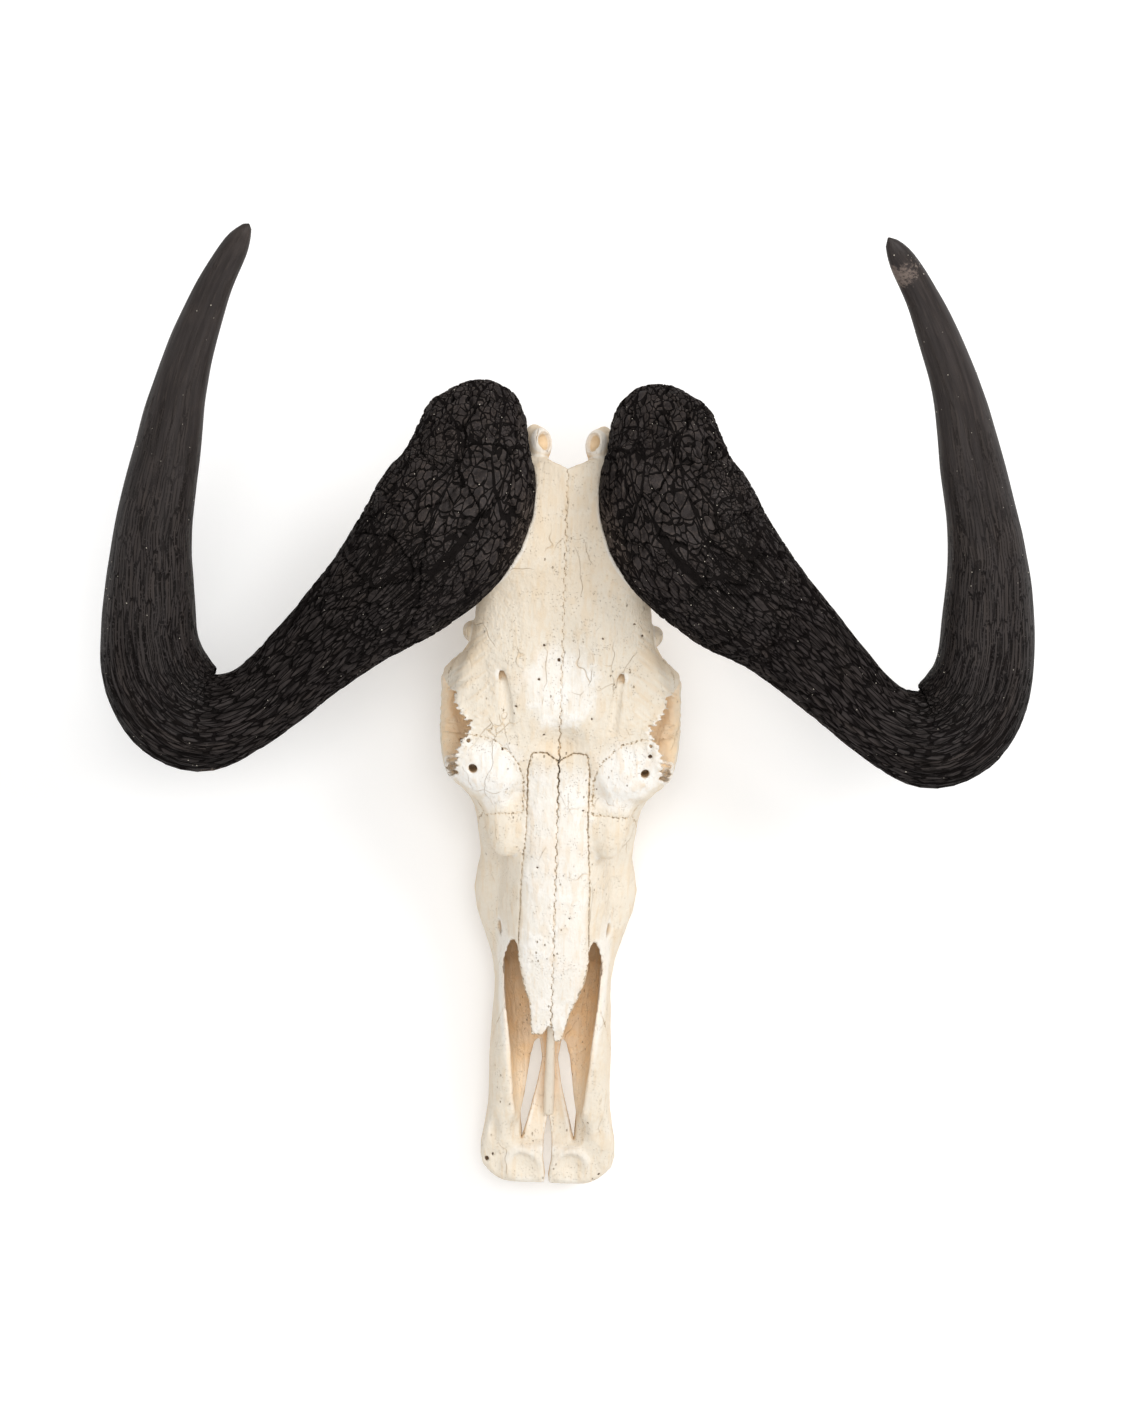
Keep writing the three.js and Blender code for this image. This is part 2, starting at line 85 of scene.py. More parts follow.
# Horn: centre x, y, z, half width seen from above, half thickness, from the boss to the tip.
HORN_STATIONS = [
    (54, 178, 152, 8, 7),
    (53, 166, 158, 26, 20),
    (55, 144, 165, 33.5, 31),
    (59, 119, 169, 42, 37),
    (72, 92, 168, 44, 40),
    (96, 66, 160, 38, 37),
    (122, 44, 149, 30, 31),
    (150, 19, 138, 25, 26),
    (180, -7, 129, 23, 23),
    (206, -17, 125, 29, 23),
    (225, -9, 126, 32, 24),
    (236, 8, 131, 31, 24),
    (240, 28, 140, 28, 24),
    (239, 52, 153, 26, 23),
    (234, 90, 179, 21.5, 20),
    (222, 133, 211, 18, 16.5),
    (209, 174, 243, 13.6, 13),
    (190, 213, 275, 9.7, 9.6),
    (176, 234, 293, 7.2, 7.2),
    (169, 243, 301, 3.5, 3.5),
]
TIP_LEAN = {"left": 6, "right": -7}

# The two horns aren't quite alike: how far each arm lies outwards and backwards of the even pair.
ARM_DRIFT = {"left": (3, 2), "right": (-3, -1)}

# Photograph: height of the camera over the table, focal length in pixels of the full height, and its roll.
IMAGE_SIZE = (1122, 1402)
CAMERA_HEIGHT = 2000
FOCAL_PIXELS = 3241
ROLL = radians(1.75)


def smooth_min(first, second, blend):
    """The lesser of two distances, with a fillet of about the given size where they meet."""
    near = np.maximum(blend - np.abs(first - second), 0) / blend
    return np.minimum(first, second) - near * near * blend / 4


def smooth_max(first, second, blend):
    return -smooth_min(-first, -second, blend)


def ramp(value, start, stop):
    """Rises smoothly from 0 at start to 1 at stop."""
    part = np.clip((value - start) / (stop - start), 0, 1)
    return part * part * (3 - 2 * part)


def eased(rows, steps):
    """Rows of sizes, joined by a Catmull-Rom curve and read off at even steps."""
    rows = np.array(rows, float)
    rows = np.vstack([2 * rows[0] - rows[1], rows, 2 * rows[-1] - rows[-2]])
    along = np.linspace(0, len(rows) - 3, steps + 1)
    start = np.minimum(along.astype(int), len(rows) - 4)
    t = (along - start)[:, None]
    before, first, last, after = (rows[start + k] for k in range(4))
    slope_first, slope_last = (last - before) / 2, (after - first) / 2
    change = last - first
    return (
        first
        + t * slope_first
        + t**2 * (3 * change - 2 * slope_first - slope_last)
        + t**3 * (slope_first + slope_last - 2 * change)
    )


class Shape:
    """A body given by a distance function of x, y and z, and the box that holds it."""

    def __init__(self, low, high, distance):
        self.low, self.high, self.distance = np.array(low, float), np.array(high, float), distance


def loft(rows, square=0.7, steps=24, ends=5):
    """A body along the skull. A row holds y, half width, top, bottom and how much the top narrows."""
    rows = eased(rows, steps)
    y0, y1 = rows[0, 0], rows[-1, 0]
    power = 2 / square

    def distance(x, y, z):
        half, top, bottom, taper = (np.interp(y, rows[:, 0], rows[:, k]) for k in range(1, 5))
        middle, rise = (top + bottom) / 2, (top - bottom) / 2
        s = (z - middle) / rise
        c = x / (half * (1 - taper * np.clip(s, -1, 1)))
        grown = (np.abs(c) ** power + np.abs(s) ** power + TINY) ** (1 / power)
        reach = np.sqrt(x**2 + (z - middle) ** 2 + TINY)
        return smooth_max(reach - reach / grown, np.maximum(y0 - y, y - y1), ends)

    widest = (rows[:, 1] * (1 + np.abs(rows[:, 4]))).max()
    return Shape((-widest, y0, rows[:, 3].min()), (widest, y1, rows[:, 2].max()), distance)


def unit(vector):
    return vector / np.linalg.norm(vector)


def tube(rows, steps=10, up=(0, 0, 1), blunt=False):
    """A bent body with an oval section. A row holds the centre x, y, z, half width and half thickness."""
    rows = eased(rows, steps)
    ends = [(rows[0], unit(rows[0, :3] - rows[1, :3])), (rows[-1], unit(rows[-1, :3] - rows[-2, :3]))]

    def distance(x, y, z):
        nearest = FAR
        for start, stop in zip(rows[:-1], rows[1:]):
            length = np.linalg.norm(stop[:3] - start[:3])
            ahead = unit(stop[:3] - start[:3])
            across = unit(np.cross(ahead, up))
            raised = np.cross(across, ahead)
            dx, dy, dz = x - start[0], y - start[1], z - start[2]
            passed = dx * ahead[0] + dy * ahead[1] + dz * ahead[2]
            t = np.clip(passed / length, 0, 1)
            wide, thick = (start[k] + t * (stop[k] - start[k]) for k in (3, 4))
            thin = np.minimum(wide, thick)
            over = passed - t * length
            side = dx * across[0] + dy * across[1] + dz * across[2]
            rise = dx * raised[0] + dy * raised[1] + dz * raised[2]
            grown = np.sqrt((side / wide) ** 2 + (rise / thick) ** 2 + (over / thin) ** 2 + TINY / thin**2)
            reach = np.sqrt(side**2 + rise**2 + over**2 + TINY)
            nearest = np.minimum(nearest, reach - reach / grown)
        if blunt:
            past = [(x - e[0]) * way[0] + (y - e[1]) * way[1] + (z - e[2]) * way[2] for e, way in ends]
            nearest = smooth_max(nearest, np.maximum(*past), 3)
        return nearest

    widest = rows[:, 3:].max()
    return Shape(rows[:, :3].min(0) - widest, rows[:, :3].max(0) + widest, distance)


def ball(centre, radii, lean=0.0):
    """An egg-shaped lump, turned by lean about the Y axis."""
    (cx, cy, cz), (rx, ry, rz) = centre, radii
    turn_cos, turn_sin = np.cos(lean), np.sin(lean)

    def distance(x, y, z):
        u = (x - cx) * turn_cos - (z - cz) * turn_sin
        w = (x - cx) * turn_sin + (z - cz) * turn_cos
        v = y - cy
        thin = min(radii)
        grown = np.sqrt((u / rx) ** 2 + (v / ry) ** 2 + (w / rz) ** 2 + TINY / thin**2)
        reach = np.sqrt(u**2 + v**2 + w**2 + TINY)
        return reach - reach / grown

    most = np.array([max(rx, rz) if lean else rx, ry, max(rx, rz) if lean else rz])
    return Shape(np.array(centre) - most, np.array(centre) + most, distance)


def hoop(x, y, z, high, long, rim, lean):
    """An oval ring round the X axis, leaning outwards at its bottom."""
    turn_cos, turn_sin = np.cos(lean), np.sin(lean)

    def distance(px, py, pz):
        u = (px - x) * turn_cos - (pz - z) * turn_sin
        w = (px - x) * turn_sin + (pz - z) * turn_cos
        v = py - y
        reach = np.sqrt(v**2 + w**2 + TINY)
        grown = np.sqrt((v / long) ** 2 + (w / high) ** 2 + TINY)
        return np.sqrt((reach - reach / grown) ** 2 + u**2) - rim

    return Shape((x - 14, y - long - rim, z - high - rim), (x + 14, y + long + rim, z + high + rim), distance)


def outline(corners):
    """Distance to a closed outline on a plane, less than 0 inside."""
    corners = np.array(corners, float)

    def distance(u, v):
        nearest, inside = np.float32(FAR**2), False
        for start, stop in zip(corners, np.roll(corners, -1, 0)):
            edge = stop - start
            du, dv = u - start[0], v - start[1]
            t = np.clip((du * edge[0] + dv * edge[1]) / (edge @ edge), 0, 1)
            nearest = np.minimum(nearest, (du - t * edge[0]) ** 2 + (dv - t * edge[1]) ** 2)
            crosses = (start[1] > v) != (stop[1] > v)
            inside = inside ^ (crosses & (du < edge[0] * dv / (edge[1] or TINY)))
        return np.where(inside, -1, 1) * np.sqrt(nearest)

    return distance


def plan_block(corners, low, high, round_by=1.0):
    """An upright block with an outline seen from above."""
    flat = outline(corners)
    (x0, y0), (x1, y1) = np.min(corners, 0), np.max(corners, 0)

    def distance(x, y, z):
        return smooth_max(flat(x, y), np.maximum(low - z, z - high), round_by)

    return Shape((x0, y0, low), (x1, y1, high), distance)


def side_block(corners, low=-100, high=100, round_by=1.0):
    """A block with an outline of y and z seen from the side, from one x to another."""
    flat = outline(corners)
    (y0, z0), (y1, z1) = np.min(corners, 0), np.max(corners, 0)

    def distance(x, y, z):
        return smooth_max(flat(y, z), np.maximum(low - x, x - high), round_by)

    return Shape((low, y0, z0), (high, y1, z1), distance)


def ragged(shape, deep):
    """The shape with spikes and notches of about the given depth along its upright sides."""

    def distance(x, y, z):
        spikes = np.sin(1.6 * y + 0.5 * x) + 0.8 * np.sin(2.6 * y - 1.1 * x + 1) + 0.5 * np.sin(0.8 * y + 2)
        return shape.distance(x, y, z) + deep * spikes * 0.6

    return Shape(shape.low - deep, shape.high + deep, distance)


def mixed_hash(cells, seed):
    """A number from 0 to 4095 for each whole-numbered cell of space."""
    i, j, k = cells[..., 0], cells[..., 1], cells[..., 2]
    return ((i * 73856093) ^ (j * 19349663) ^ (k * 83492791) ^ (seed * 2654435)) & 4095


def grain(points, size, seed):
    """Smooth random values from -1 to 1 at points, which change over a length of size."""
    table = np.random.default_rng(seed).uniform(-1, 1, 4096)
    scaled = points / size
    base = np.floor(scaled).astype(np.int64)
    part = scaled - base
    part = part * part * (3 - 2 * part)
    total = 0
    for corner in np.ndindex(2, 2, 2):
        weight = np.prod(np.where(corner, part, 1 - part), axis=-1)
        total = total + weight * table[mixed_hash(base + corner, seed)]
    return total


def cobbles(points, size, seed):
    """Splits space into rough cells: how near a point is to the edge of its cell, and the cell's own draw."""
    table = np.random.default_rng(seed).uniform(0.08, 0.92, (4096, 3))
    scaled = points / size
    base = np.floor(scaled).astype(np.int64)
    first = np.full(len(points), FAR)
    second = first.copy()
    own = np.zeros(len(points))
    for corner in np.ndindex(3, 3, 3):
        cell = base + corner - 1
        draw = table[mixed_hash(cell, seed)]
        reach = np.linalg.norm(cell + draw - scaled, axis=1)
        own = np.where(reach < first, draw[:, 0], own)
        second = np.minimum(second, np.maximum(first, reach))
        first = np.minimum(first, reach)
    return (second - first) * size / 2, own


class Clay:
    """The left side of the skull as distances on a grid. The right side is its mirror image."""

    def __init__(self, low, high, step):
        self.first = np.floor(np.array(low) / step).astype(int)
        self.step = step
        size = np.ceil(np.array(high) / step).astype(int) - self.first + 1
        self.value = np.full(size, FAR, np.float32)

    def window(self, low, high):
        """The part of the grid between two corners, and the x, y and z of its points."""
        start = np.maximum(np.floor(low / self.step).astype(int) - self.first, 0)
        stop = np.minimum(np.ceil(high / self.step).astype(int) - self.first + 1, self.value.shape)
        x, y, z = (self.step * (self.first[k] + np.arange(start[k], stop[k])) for k in range(3))
        return tuple(map(slice, start, stop)), (x[:, None, None], y[None, :, None], z[None, None, :])

    def add(self, *shapes, blend=4.0):
        for shape in shapes:
            margin = blend + 3 * self.step
            window, points = self.window(shape.low - margin, shape.high + margin)
            self.value[window] = smooth_min(self.value[window], shape.distance(*points), blend)

    def cut(self, *shapes, blend=2.0):
        for shape in shapes:
            margin = blend + 3 * self.step
            window, points = self.window(shape.low - margin, shape.high + margin)
            self.value[window] = smooth_max(self.value[window], -shape.distance(*points), blend)

    def copy(self):
        other = Clay((0, 0, 0), (0, 0, 0), self.step)
        other.first, other.value = self.first, self.value.copy()
        return other

    def both_sides(self, low, high):
        """Distances in a box that may lie on either side, and the x, y and z of its points."""
        start, stop = (np.rint(np.array(corner) / self.step).astype(int) for corner in (low, high))
        steps = [np.arange(start[k], stop[k] + 1) for k in range(3)]
        places = [(abs(steps[0]), steps[1], steps[2])[k] - self.first[k] for k in range(3)]
        places = [np.clip(places[k], 0, self.value.shape[k] - 1) for k in range(3)]
        x, y, z = (self.step * line for line in steps)
        return self.value[np.ix_(*places)], (x[:, None, None], y[None, :, None], z[None, None, :])

    def read(self, points):
        """The distance at points, on either side of the skull."""
        place = points / self.step
        place[:, 0] = abs(place[:, 0])
        place = np.clip(place - self.first, 0, np.array(self.value.shape) - 1.001)
        base = place.astype(int)
        part = place - base
        total = 0
        for corner in np.ndindex(2, 2, 2):
            weight = np.prod(np.where(corner, part, 1 - part), axis=1)
            total = total + weight * self.value[tuple((base + corner).T)]
        return total


FACE = [
    (-293, 27, 33, 21, 0),
    (-283, 39, 36, 20, 0.02),
    (-268, 40.5, 41, 19, 0.04),
    (-245, 36, 50, 18, 0.1),
    (-215, 35.5, 63, 18, 0.12),
    (-180, 34, 76, 18, 0.16),
    (-150, 33.5, 88, 17, 0.22),
    (-120, 35.5, 96, 16, 0.27),
    (-85, 35, 106, 16, 0.27),
    (-50, 36, 115, 17, 0.22),
    (-30, 35, 121, 20, 0.15),
    (-20, 31, 125, 40, 0.05),
    (15, 30, 136, 50, 0),
]
ROOF = [
    (-50, 30, 112, 92, 0),
    (-36, 50, 120, 98, 0),
    (-14, 60, 129, 112, 0),
    (12, 60, 137, 116, 0),
    (32, 53, 145, 112, 0),
    (60, 50, 153, 108, 0),
    (100, 46, 161, 100, 0),
    (128, 36, 161, 104, 0),
    (141, 27, 156, 120, 0),
]
CASE = [
    (-5, 30, 120, 42, 0),
    (25, 36, 128, 40, 0),
    (60, 44, 140, 42, 0),
    (95, 47, 142, 44, 0),
    (118, 44, 138, 46, 0),
    (130, 34, 128, 56, 0),
]
NAPE = [(98, 52, 120, 60, 0.1), (116, 52, 128, 56, 0.15), (127, 42, 136, 62, 0.1), (133, 28, 138, 74, 0)]
SKULL_BASE = [(10, 10, 60, 42, 0), (50, 12, 60, 38, 0), (85, 18, 62, 36, 0), (118, 20, 64, 40, 0)]
NOSE_ROOM = [
    (-270, 11, 60, 30, 0),
    (-250, 19.5, 66, 27, 0),
    (-230, 22, 76, 26, 0),
    (-206, 24.5, 86, 26, 0),
    (-180, 27.5, 92, 26, 0),
    (-160, 28.6, 94, 26, 0),
    (-150, 29, 83, 26, 0.1),
    (-120, 28, 89, 26, 0.15),
    (-92, 22, 92, 30, 0.15),
    (-78, 12, 80, 44, 0),
]
WALL_TOP = [
    (NOTCH_Y + 2, 140),
    (NOTCH_Y, 88),
    (NOTCH_Y - 14, 77),
    (-200, 64),
    (-240, 50),
    (-262, 40),
    (-276, 34),
    (-310, 31),
    (-310, 140),
]
SLIT = [
    (7, -206),
    (5.2, -218),
    (7.9, -234),
    (11.4, -250),
    (15.8, -266),
    (17, -251),
    (14, -234),
    (12, -218),
    (9.5, -208),
]

# The pointed rear end of the nose's opening, beside the nose bone.
NOSE_ARCH = [(23, -142), (25.5, -143), (28, -150), (28.9, -162), (16, -162), (20, -150)]

# The ragged upper edge of the eye socket and the strip in front of it through which its inside shows.
BROW_NOTCH = [
    (66.5, 7),
    (61.5, 4),
    (61, -4),
    (56, -11),
    (51, -16),
    (55, -22),
    (58, -27),
    (60, -35),
    (59.5, -43),
    (63, -47),
    (65, -40),
    (66.5, -25),
    (67, -10),
]

# A crescent plate at the tip of the muzzle.
CRESCENT = [
    (2.5, -283),
    (8, -276),
    (15.3, -272.4),
    (22.4, -275),
    (25.5, -282),
    (23, -289.5),
    (16.8, -292),
    (4.4, -290.5),
]


def tooth_shapes():
    """Each cheek tooth as one or two lobes, with crescent valleys between the cusps of its chewing face."""
    shapes, valleys = [], []
    front = TEETH_FRONT_Y
    for number, (long, wide, out) in enumerate(TEETH):
        inner, outer = out - wide / 2, out + wide / 2
        lobes = 2 if number > 1 else 1
        lobe = (long - 0.8) / lobes
        outer_side, inner_side = [(outer - 1.2, front)], [(inner + 1, front)]
        for k in range(lobes):
            y = front + k * lobe
            outer_side += [(outer + 0.6, y + lobe * 0.25), (outer, y + lobe * 0.5)]
            outer_side += [(outer + 0.8, y + lobe * 0.75), (outer - 1.2, y + lobe)]
            inner_side += [(inner - 0.4, y + lobe * 0.5), (inner + 1, y + lobe)]
            valleys.append(ball((out + wide * 0.14, y + lobe / 2, 0), (wide * 0.1, lobe * 0.4, 3)))
            valleys.append(ball((out - wide * 0.2, y + lobe / 2, 0), (wide * 0.08, lobe * 0.34, 3)))
        shapes.append(plan_block(outer_side + inner_side[::-1], 0, TOOTH_TOP_Z, 1.5))
        front += long
    return shapes, valleys


def nose_room():
    return loft(NOSE_ROOM, 0.7, steps=36, ends=8)


def eye_hollow():
    x, y, z, high, long, _, lean, deep = ORBIT.values()
    return ball((x + 6, y, z - 2), (deep, long - 4, high - 6), lean)


@lru_cache
def clay_skull(step):
    """The skull in one piece: once before the nose is hollowed out, and once after."""
    clay = Clay((-4 * step, -298, -3), (80, 162, 172), step)
    clay.add(loft(FACE, 0.6), blend=4)
    clay.add(loft(CASE, 0.85), blend=8)
    clay.add(loft(ROOF, 0.6), blend=6)
    clay.add(loft(NAPE, 0.9), blend=8)
    clay.add(loft(SKULL_BASE, 0.7), blend=8)

    # The walls of the eye socket, the swelling of the tear bone, and the hollows of socket and temple.
    walls = [(26, -22, 93, 46, 28), (42, -17, 98, 38, 28), (53, -14, 101.5, 33, 27)]
    walls += [(62, ORBIT["y"], 103, 28, 25)]
    clay.add(tube(walls, 6, blunt=True), blend=8)
    clay.add(ball((39, -40, 106), (18, 15, 13)), ball((30, -66, 97), (12, 26, 10)), blend=9)
    clay.cut(eye_hollow(), blend=3)
    clay.cut(ball((66, 32, 98), (28, 40, 14)), blend=6)

    # The ridge down the side of the upper jaw to the tuber of the face.
    ridge = [(24, -156, 40, 9, 8), (32, -132, 44, 12, 12), (35.5, -113, 48, 13, 13)]
    ridge += [(33, -94, 53, 12, 14), (35, -74, 62, 12, 15), (38, -56, 70, 10, 16)]
    clay.add(tube(ridge), blend=9)

    # Cheek bone, its arch to the ear, the bar behind the eye, and the rim of the socket.
    arch = [(35, -70, 66, 8, 13), (42, -57, 71, 9, 15), (56, -38, 77, 9, 13), (63.5, -22, 79, 6, 10)]
    arch += [(65.5, -8, 80, 4.5, 9), (65.5, 8, 83, 4, 8.5), (58, 22, 86, 3.5, 7)]
    arch += [(50, 36, 88, 4, 6.5), (46, 54, 89, 4.5, 6.5), (40, 72, 89, 9, 8)]
    clay.add(tube(arch, 16), blend=6)
    bar = [(42, 16, 124, 9, 17), (56, 14, 120, 7.5, 13), (63, 13, 110, 5, 8.5), (65.5, 12, 96, 4, 7)]
    bar += [(65.5, 12, 83, 4.5, 8)]
    clay.add(tube(bar, 8, up=(0, 1, 0)), blend=6)
    x, y, z, high, long, rim, lean, _ = ORBIT.values()
    clay.add(hoop(x + 2, y, z - 1, high, long, rim * 0.7, lean), blend=5)
    clay.cut(ragged(plan_block(BROW_NOTCH, 96, 160, 1), 1.7), blend=1)

    # Back of the skull: blade, knuckle for the neck, the ear's bulb and pipe, and the spinal cord's opening.
    clay.add(ball((37, 103, 76), (15, 15, 20)), blend=8)
    blade = [(39, 106, 74, 12, 10), (40, 107, 52, 10.5, 6.5), (38, 106, 30, 8, 5), (36, 104, 12, 6, 4.2)]
    blade += [(35, 103, -5, 4.5, 4)]
    clay.add(tube(blade, up=(0, 1, 0)), blend=5)
    clay.add(ball((17, 123, 57), (11, 14, 17)), blend=4)
    clay.add(ball((25, 80, 43), (10, 15, 14)), blend=4)
    clay.add(tube([(24, 84, 58, 8, 8), (52, 88, 68, 5.5, 5.5)], 1), blend=4)
    clay.cut(tube([(40, 86, 64, 2.4, 2.4), (60, 90, 71, 3, 3)], 1), blend=1)
    clay.cut(tube([(0, 100, 66, 12, 13), (0, 130, 66, 12, 14), (0, 150, 66, 13, 15)], 3), blend=3)
    clay.add(tube([(0, 126, 92, 2.5, 5), (0, 131, 112, 3, 5), (0, 134, 128, 4, 5)], 4, up=(0, 1, 0)), blend=7)

    # Bony stump of the horn, the crown's knob with its pit, and the notch between the knobs.
    clay.add(tube([(8, 98, 134, 38, 24), (34, 99, 145, 36, 25), (58, 95, 152, 27, 20)], 3), blend=8)
    crown_edge = [(-9, 132), (0, 132), (20, 141.5), (60, 142), (60, 170), (-9, 170)]
    clay.cut(plan_block(crown_edge, 90, 200, 2), blend=2)
    clay.add(ball((16.5, 146, 147), (7, 10, 10)), ball((20, 150, 142), (6, 8, 7)), blend=3)
    clay.cut(ball((13.5, 148, 153), (4.5, 5.5, 6)), blend=1)

    # Wings beside the throat, and the room between them.
    wing = [(15, -14, 34, 2.5, 10), (15, 10, 36, 2, 14), (17, 34, 44, 2, 12)]
    clay.add(tube(wing, 6), blend=4)
    clay.cut(tube([(0, -40, 30, 10, 9), (0, 0, 38, 10, 12), (0, 26, 42, 9, 10)], 4), blend=4)

    # Palate between the tooth rows, and the teeth.
    palate = [(0, -220, 10, 22, 8), (0, -150, 9, 22, 10), (0, -60, 8, 24, 13), (0, -20, 10, 22, 14)]
    clay.cut(tube(palate, 8), blend=5)
    shapes, valleys = tooth_shapes()
    clay.add(*shapes, blend=1.5)
    clay.cut(*valleys, blend=0.6)

    # Forehead: dips, the holes over the eyes with the grooves that run forwards from them, and small knobs.
    clay.cut(ball((0, 10, 156), (24, 36, 19)), blend=10)
    clay.cut(ball((0, -27, 134), (17, 13, 15)), blend=8)
    clay.cut(ball((46, 2, 151), (15, 24, 18)), blend=9)
    groove = [(34.5, 16, 139, 1.6, 3.2), (33.5, 9, 137, 3, 3.4)]
    groove += [(31.5, -3, 132.5, 3.6, 3), (30, -18, 128, 3.4, 1.6)]
    clay.cut(tube(groove, 6), blend=1.5)
    clay.cut(tube([(33.8, 11, 136, 2, 2.6), (36, 24, 128, 2, 2)], 1), blend=0.8)
    clay.cut(tube([(50, -42, 126, 2.4, 2.4), (50, -38, 104, 2.6, 2.6)], 1, up=(0, 1, 0)), blend=1)
    clay.cut(tube([(53, -24.5, 130, 1, 1), (53, -24.5, 112, 1, 1)], 1, up=(0, 1, 0)), blend=0.6)
    clay.add(ball((53, 39, 126), (5.2, 6, 7)), blend=3)
    clay.cut(ball((57.5, 37, 128), (2.2, 3, 3)), blend=0.8)
    clay.cut(ball((29, -136, 62), (6, 4.5, 3.5)), blend=2)

    # The room that the horn takes up.
    clay.cut(tube(HORN_STATIONS[1:8], 14), blend=0.6)
    whole = clay.copy()

    # The nose is hollowed and opened in front of the notch beside each nose bone.
    clay.cut(nose_room(), blend=3)
    clay.cut(side_block(WALL_TOP, round_by=2), blend=4)
    clay.cut(ragged(plan_block(NOSE_ARCH, 60, 120, 2), 0.5), blend=2)
    clay.cut(plan_block(SLIT, 0, 60, 1), blend=1.5)

    # The notch between the tips of the muzzle, the hollows beside it, and the crescent plates.
    tip_notch = [(0, -250), (2.4, -266), (2.6, -280), (0.8, -294), (-1, -294), (-1, -250)]
    clay.cut(plan_block(tip_notch, 0, 60), blend=1)
    clay.cut(ball((13, -262, 46), (12, 13, 15)), blend=4)
    clay.cut(ball((33, -263, 51), (5, 14, 14)), blend=4)
    clay.cut(ball((31, -284, 47), (5, 8, 14)), blend=4)
    clay.add(plan_block(CRESCENT, 20, 33, 2), blend=1.5)
    crescent_rim = [(3, -287, 30, 1.4, 1.6), (4.5, -280, 32.4, 1.5, 1.8), (9, -275, 34.2, 1.6, 2)]
    crescent_rim += [(15, -272.6, 35, 1.7, 2), (21.5, -275, 34.6, 1.7, 2), (24.5, -281, 32.8, 1.6, 1.8)]
    crescent_rim += [(23, -288, 30, 1.6, 1.6)]
    clay.add(tube(crescent_rim, 12), blend=3)
    clay.cut(ball((14, -284, 41), (9, 8, 9)), blend=4)
    return whole, clay


def wavy(u, v, deep, seed):
    """The small waves of a suture line."""
    return deep * (
        np.sin(1.7 * u + seed) * np.cos(1.3 * v - seed)
        + 0.6 * np.sin(3.1 * u - 2.3 * v + 2 * seed)
        + 0.4 * np.sin(0.5 * u + 0.7 * v + seed)
    )


NASAL_OUTLINE = [
    (-18, NASION_Y - 6),
    (-16, NASION_Y + 3),
    (-8, NASION_Y + 4),
    (0, NASION_Y - 1),
    (8, NASION_Y + 4),
    (16, NASION_Y + 3),
    (18, NASION_Y - 6),
    (18, -75),
    (20.5, -110),
    (26, -134),
    (22.5, NOTCH_Y),
    (18, -168),
    (11.5, -184),
    (6, NASAL_TIP_Y - 3),
    (2, NASAL_TIP_Y - 3),
    (0, NASAL_TIP_Y + 8),
    (-5, NASAL_TIP_Y + 1),
    (-11.5, NASAL_TIP_Y + 1),
    (-13, -180),
    (-17, -168),
    (-21.5, NOTCH_Y),
    (-26, -134),
    (-20.5, -110),
    (-18, -75),
]
NASAL_ROOF = [
    (-20, 190),
    (-20, 118.5),
    (-60, 104.5),
    (-120, 90.5),
    (-150, 82.5),
    (-180, 71),
    (-215, 58.5),
    (-215, 190),
]
PREMAXILLA_SIDE = [(-310, -20), (-224, -20), (-214, 30), (-188, 60), (-140, 96), (-140, 130), (-310, 130)]
LACRIMAL_PLAN = [
    (20.5, -66),
    (20.5, -46),
    (23, -38),
    (29, -31),
    (36, -25),
    (48, -21),
    (90, -21),
    (90, -68),
    (48, -68),
]
ZYGOMATIC_SIDE = [(-80, 50), (-66, 84), (-12, 86), (2, 104), (34, 104), (34, 50)]
FRONTAL_SIDE = [(-58, 94), (-10, 109), (30, 125), (70, 113), (160, 125), (160, 240), (-58, 240)]
MAXILLA_SIDE = [(-240, -20), (-24, -20), (-24, 60), (-60, 130), (-240, 130)]
OCCIPITAL_SIDE = [(92, -20), (92, 58), (112, 90), (112, 200), (220, 200), (220, -20)]


def nasal_region(x, y, z):
    plan = outline(NASAL_OUTLINE)(x, y) + wavy(x, y, 0.35, 1)
    return np.maximum(plan, outline(NASAL_ROOF)(y, z))


def premaxilla_region(x, y, z):
    return outline(PREMAXILLA_SIDE)(y, z) + wavy(y, z, 0.3, 2) + 0 * x


def lacrimal_region(x, y, z):
    return np.maximum(outline(LACRIMAL_PLAN)(np.abs(x), y) + wavy(x, y, 0.5, 3), 84 - z)


def zygomatic_region(x, y, z):
    return np.maximum(outline(ZYGOMATIC_SIDE)(y, z) + wavy(y, z, 0.4, 4), 38 - np.abs(x))


def frontal_region(x, y, z):
    return outline(FRONTAL_SIDE)(y, z) + wavy(y, z + x, 0.5, 5)


def maxilla_region(x, y, z):
    return outline(MAXILLA_SIDE)(y, z) + wavy(y, z, 0.4, 6) + 0 * x


def occipital_region(x, y, z):
    return outline(OCCIPITAL_SIDE)(y, z) + wavy(x, z, 0.4, 7)


def braincase_region(x, y, z):
    return -FAR + 0 * (x + y + z)


# Gaps of the sutures. They are less than 0, because the bones have grown together.
GROWN = -1.6
LIGHTLY_GROWN = -0.9

# Bones in the order in which they are parted: the region, the box that holds the bone, and its gap.
REGIONS = {
    "nasal": (nasal_region, (-28, -206, 56), (28, -26, 126), LIGHTLY_GROWN),
    "premaxilla": (premaxilla_region, (-44, -298, 8), (44, -138, 100), GROWN),
    "lacrimal": (lacrimal_region, (-82, -70, 80), (82, -18, 138), GROWN),
    "zygomatic": (zygomatic_region, (-82, -84, 44), (82, 38, 110), GROWN),
    "frontal": (frontal_region, (-80, -62, 88), (80, 162, 174), GROWN),
    "maxilla": (maxilla_region, (-54, -236, -4), (54, -20, 124), GROWN),
    "occipital": (occipital_region, (-58, 86, -4), (58, 146, 140), GROWN),
    "braincase": (braincase_region, (-80, -62, 20), (80, 136, 146), GROWN),
}


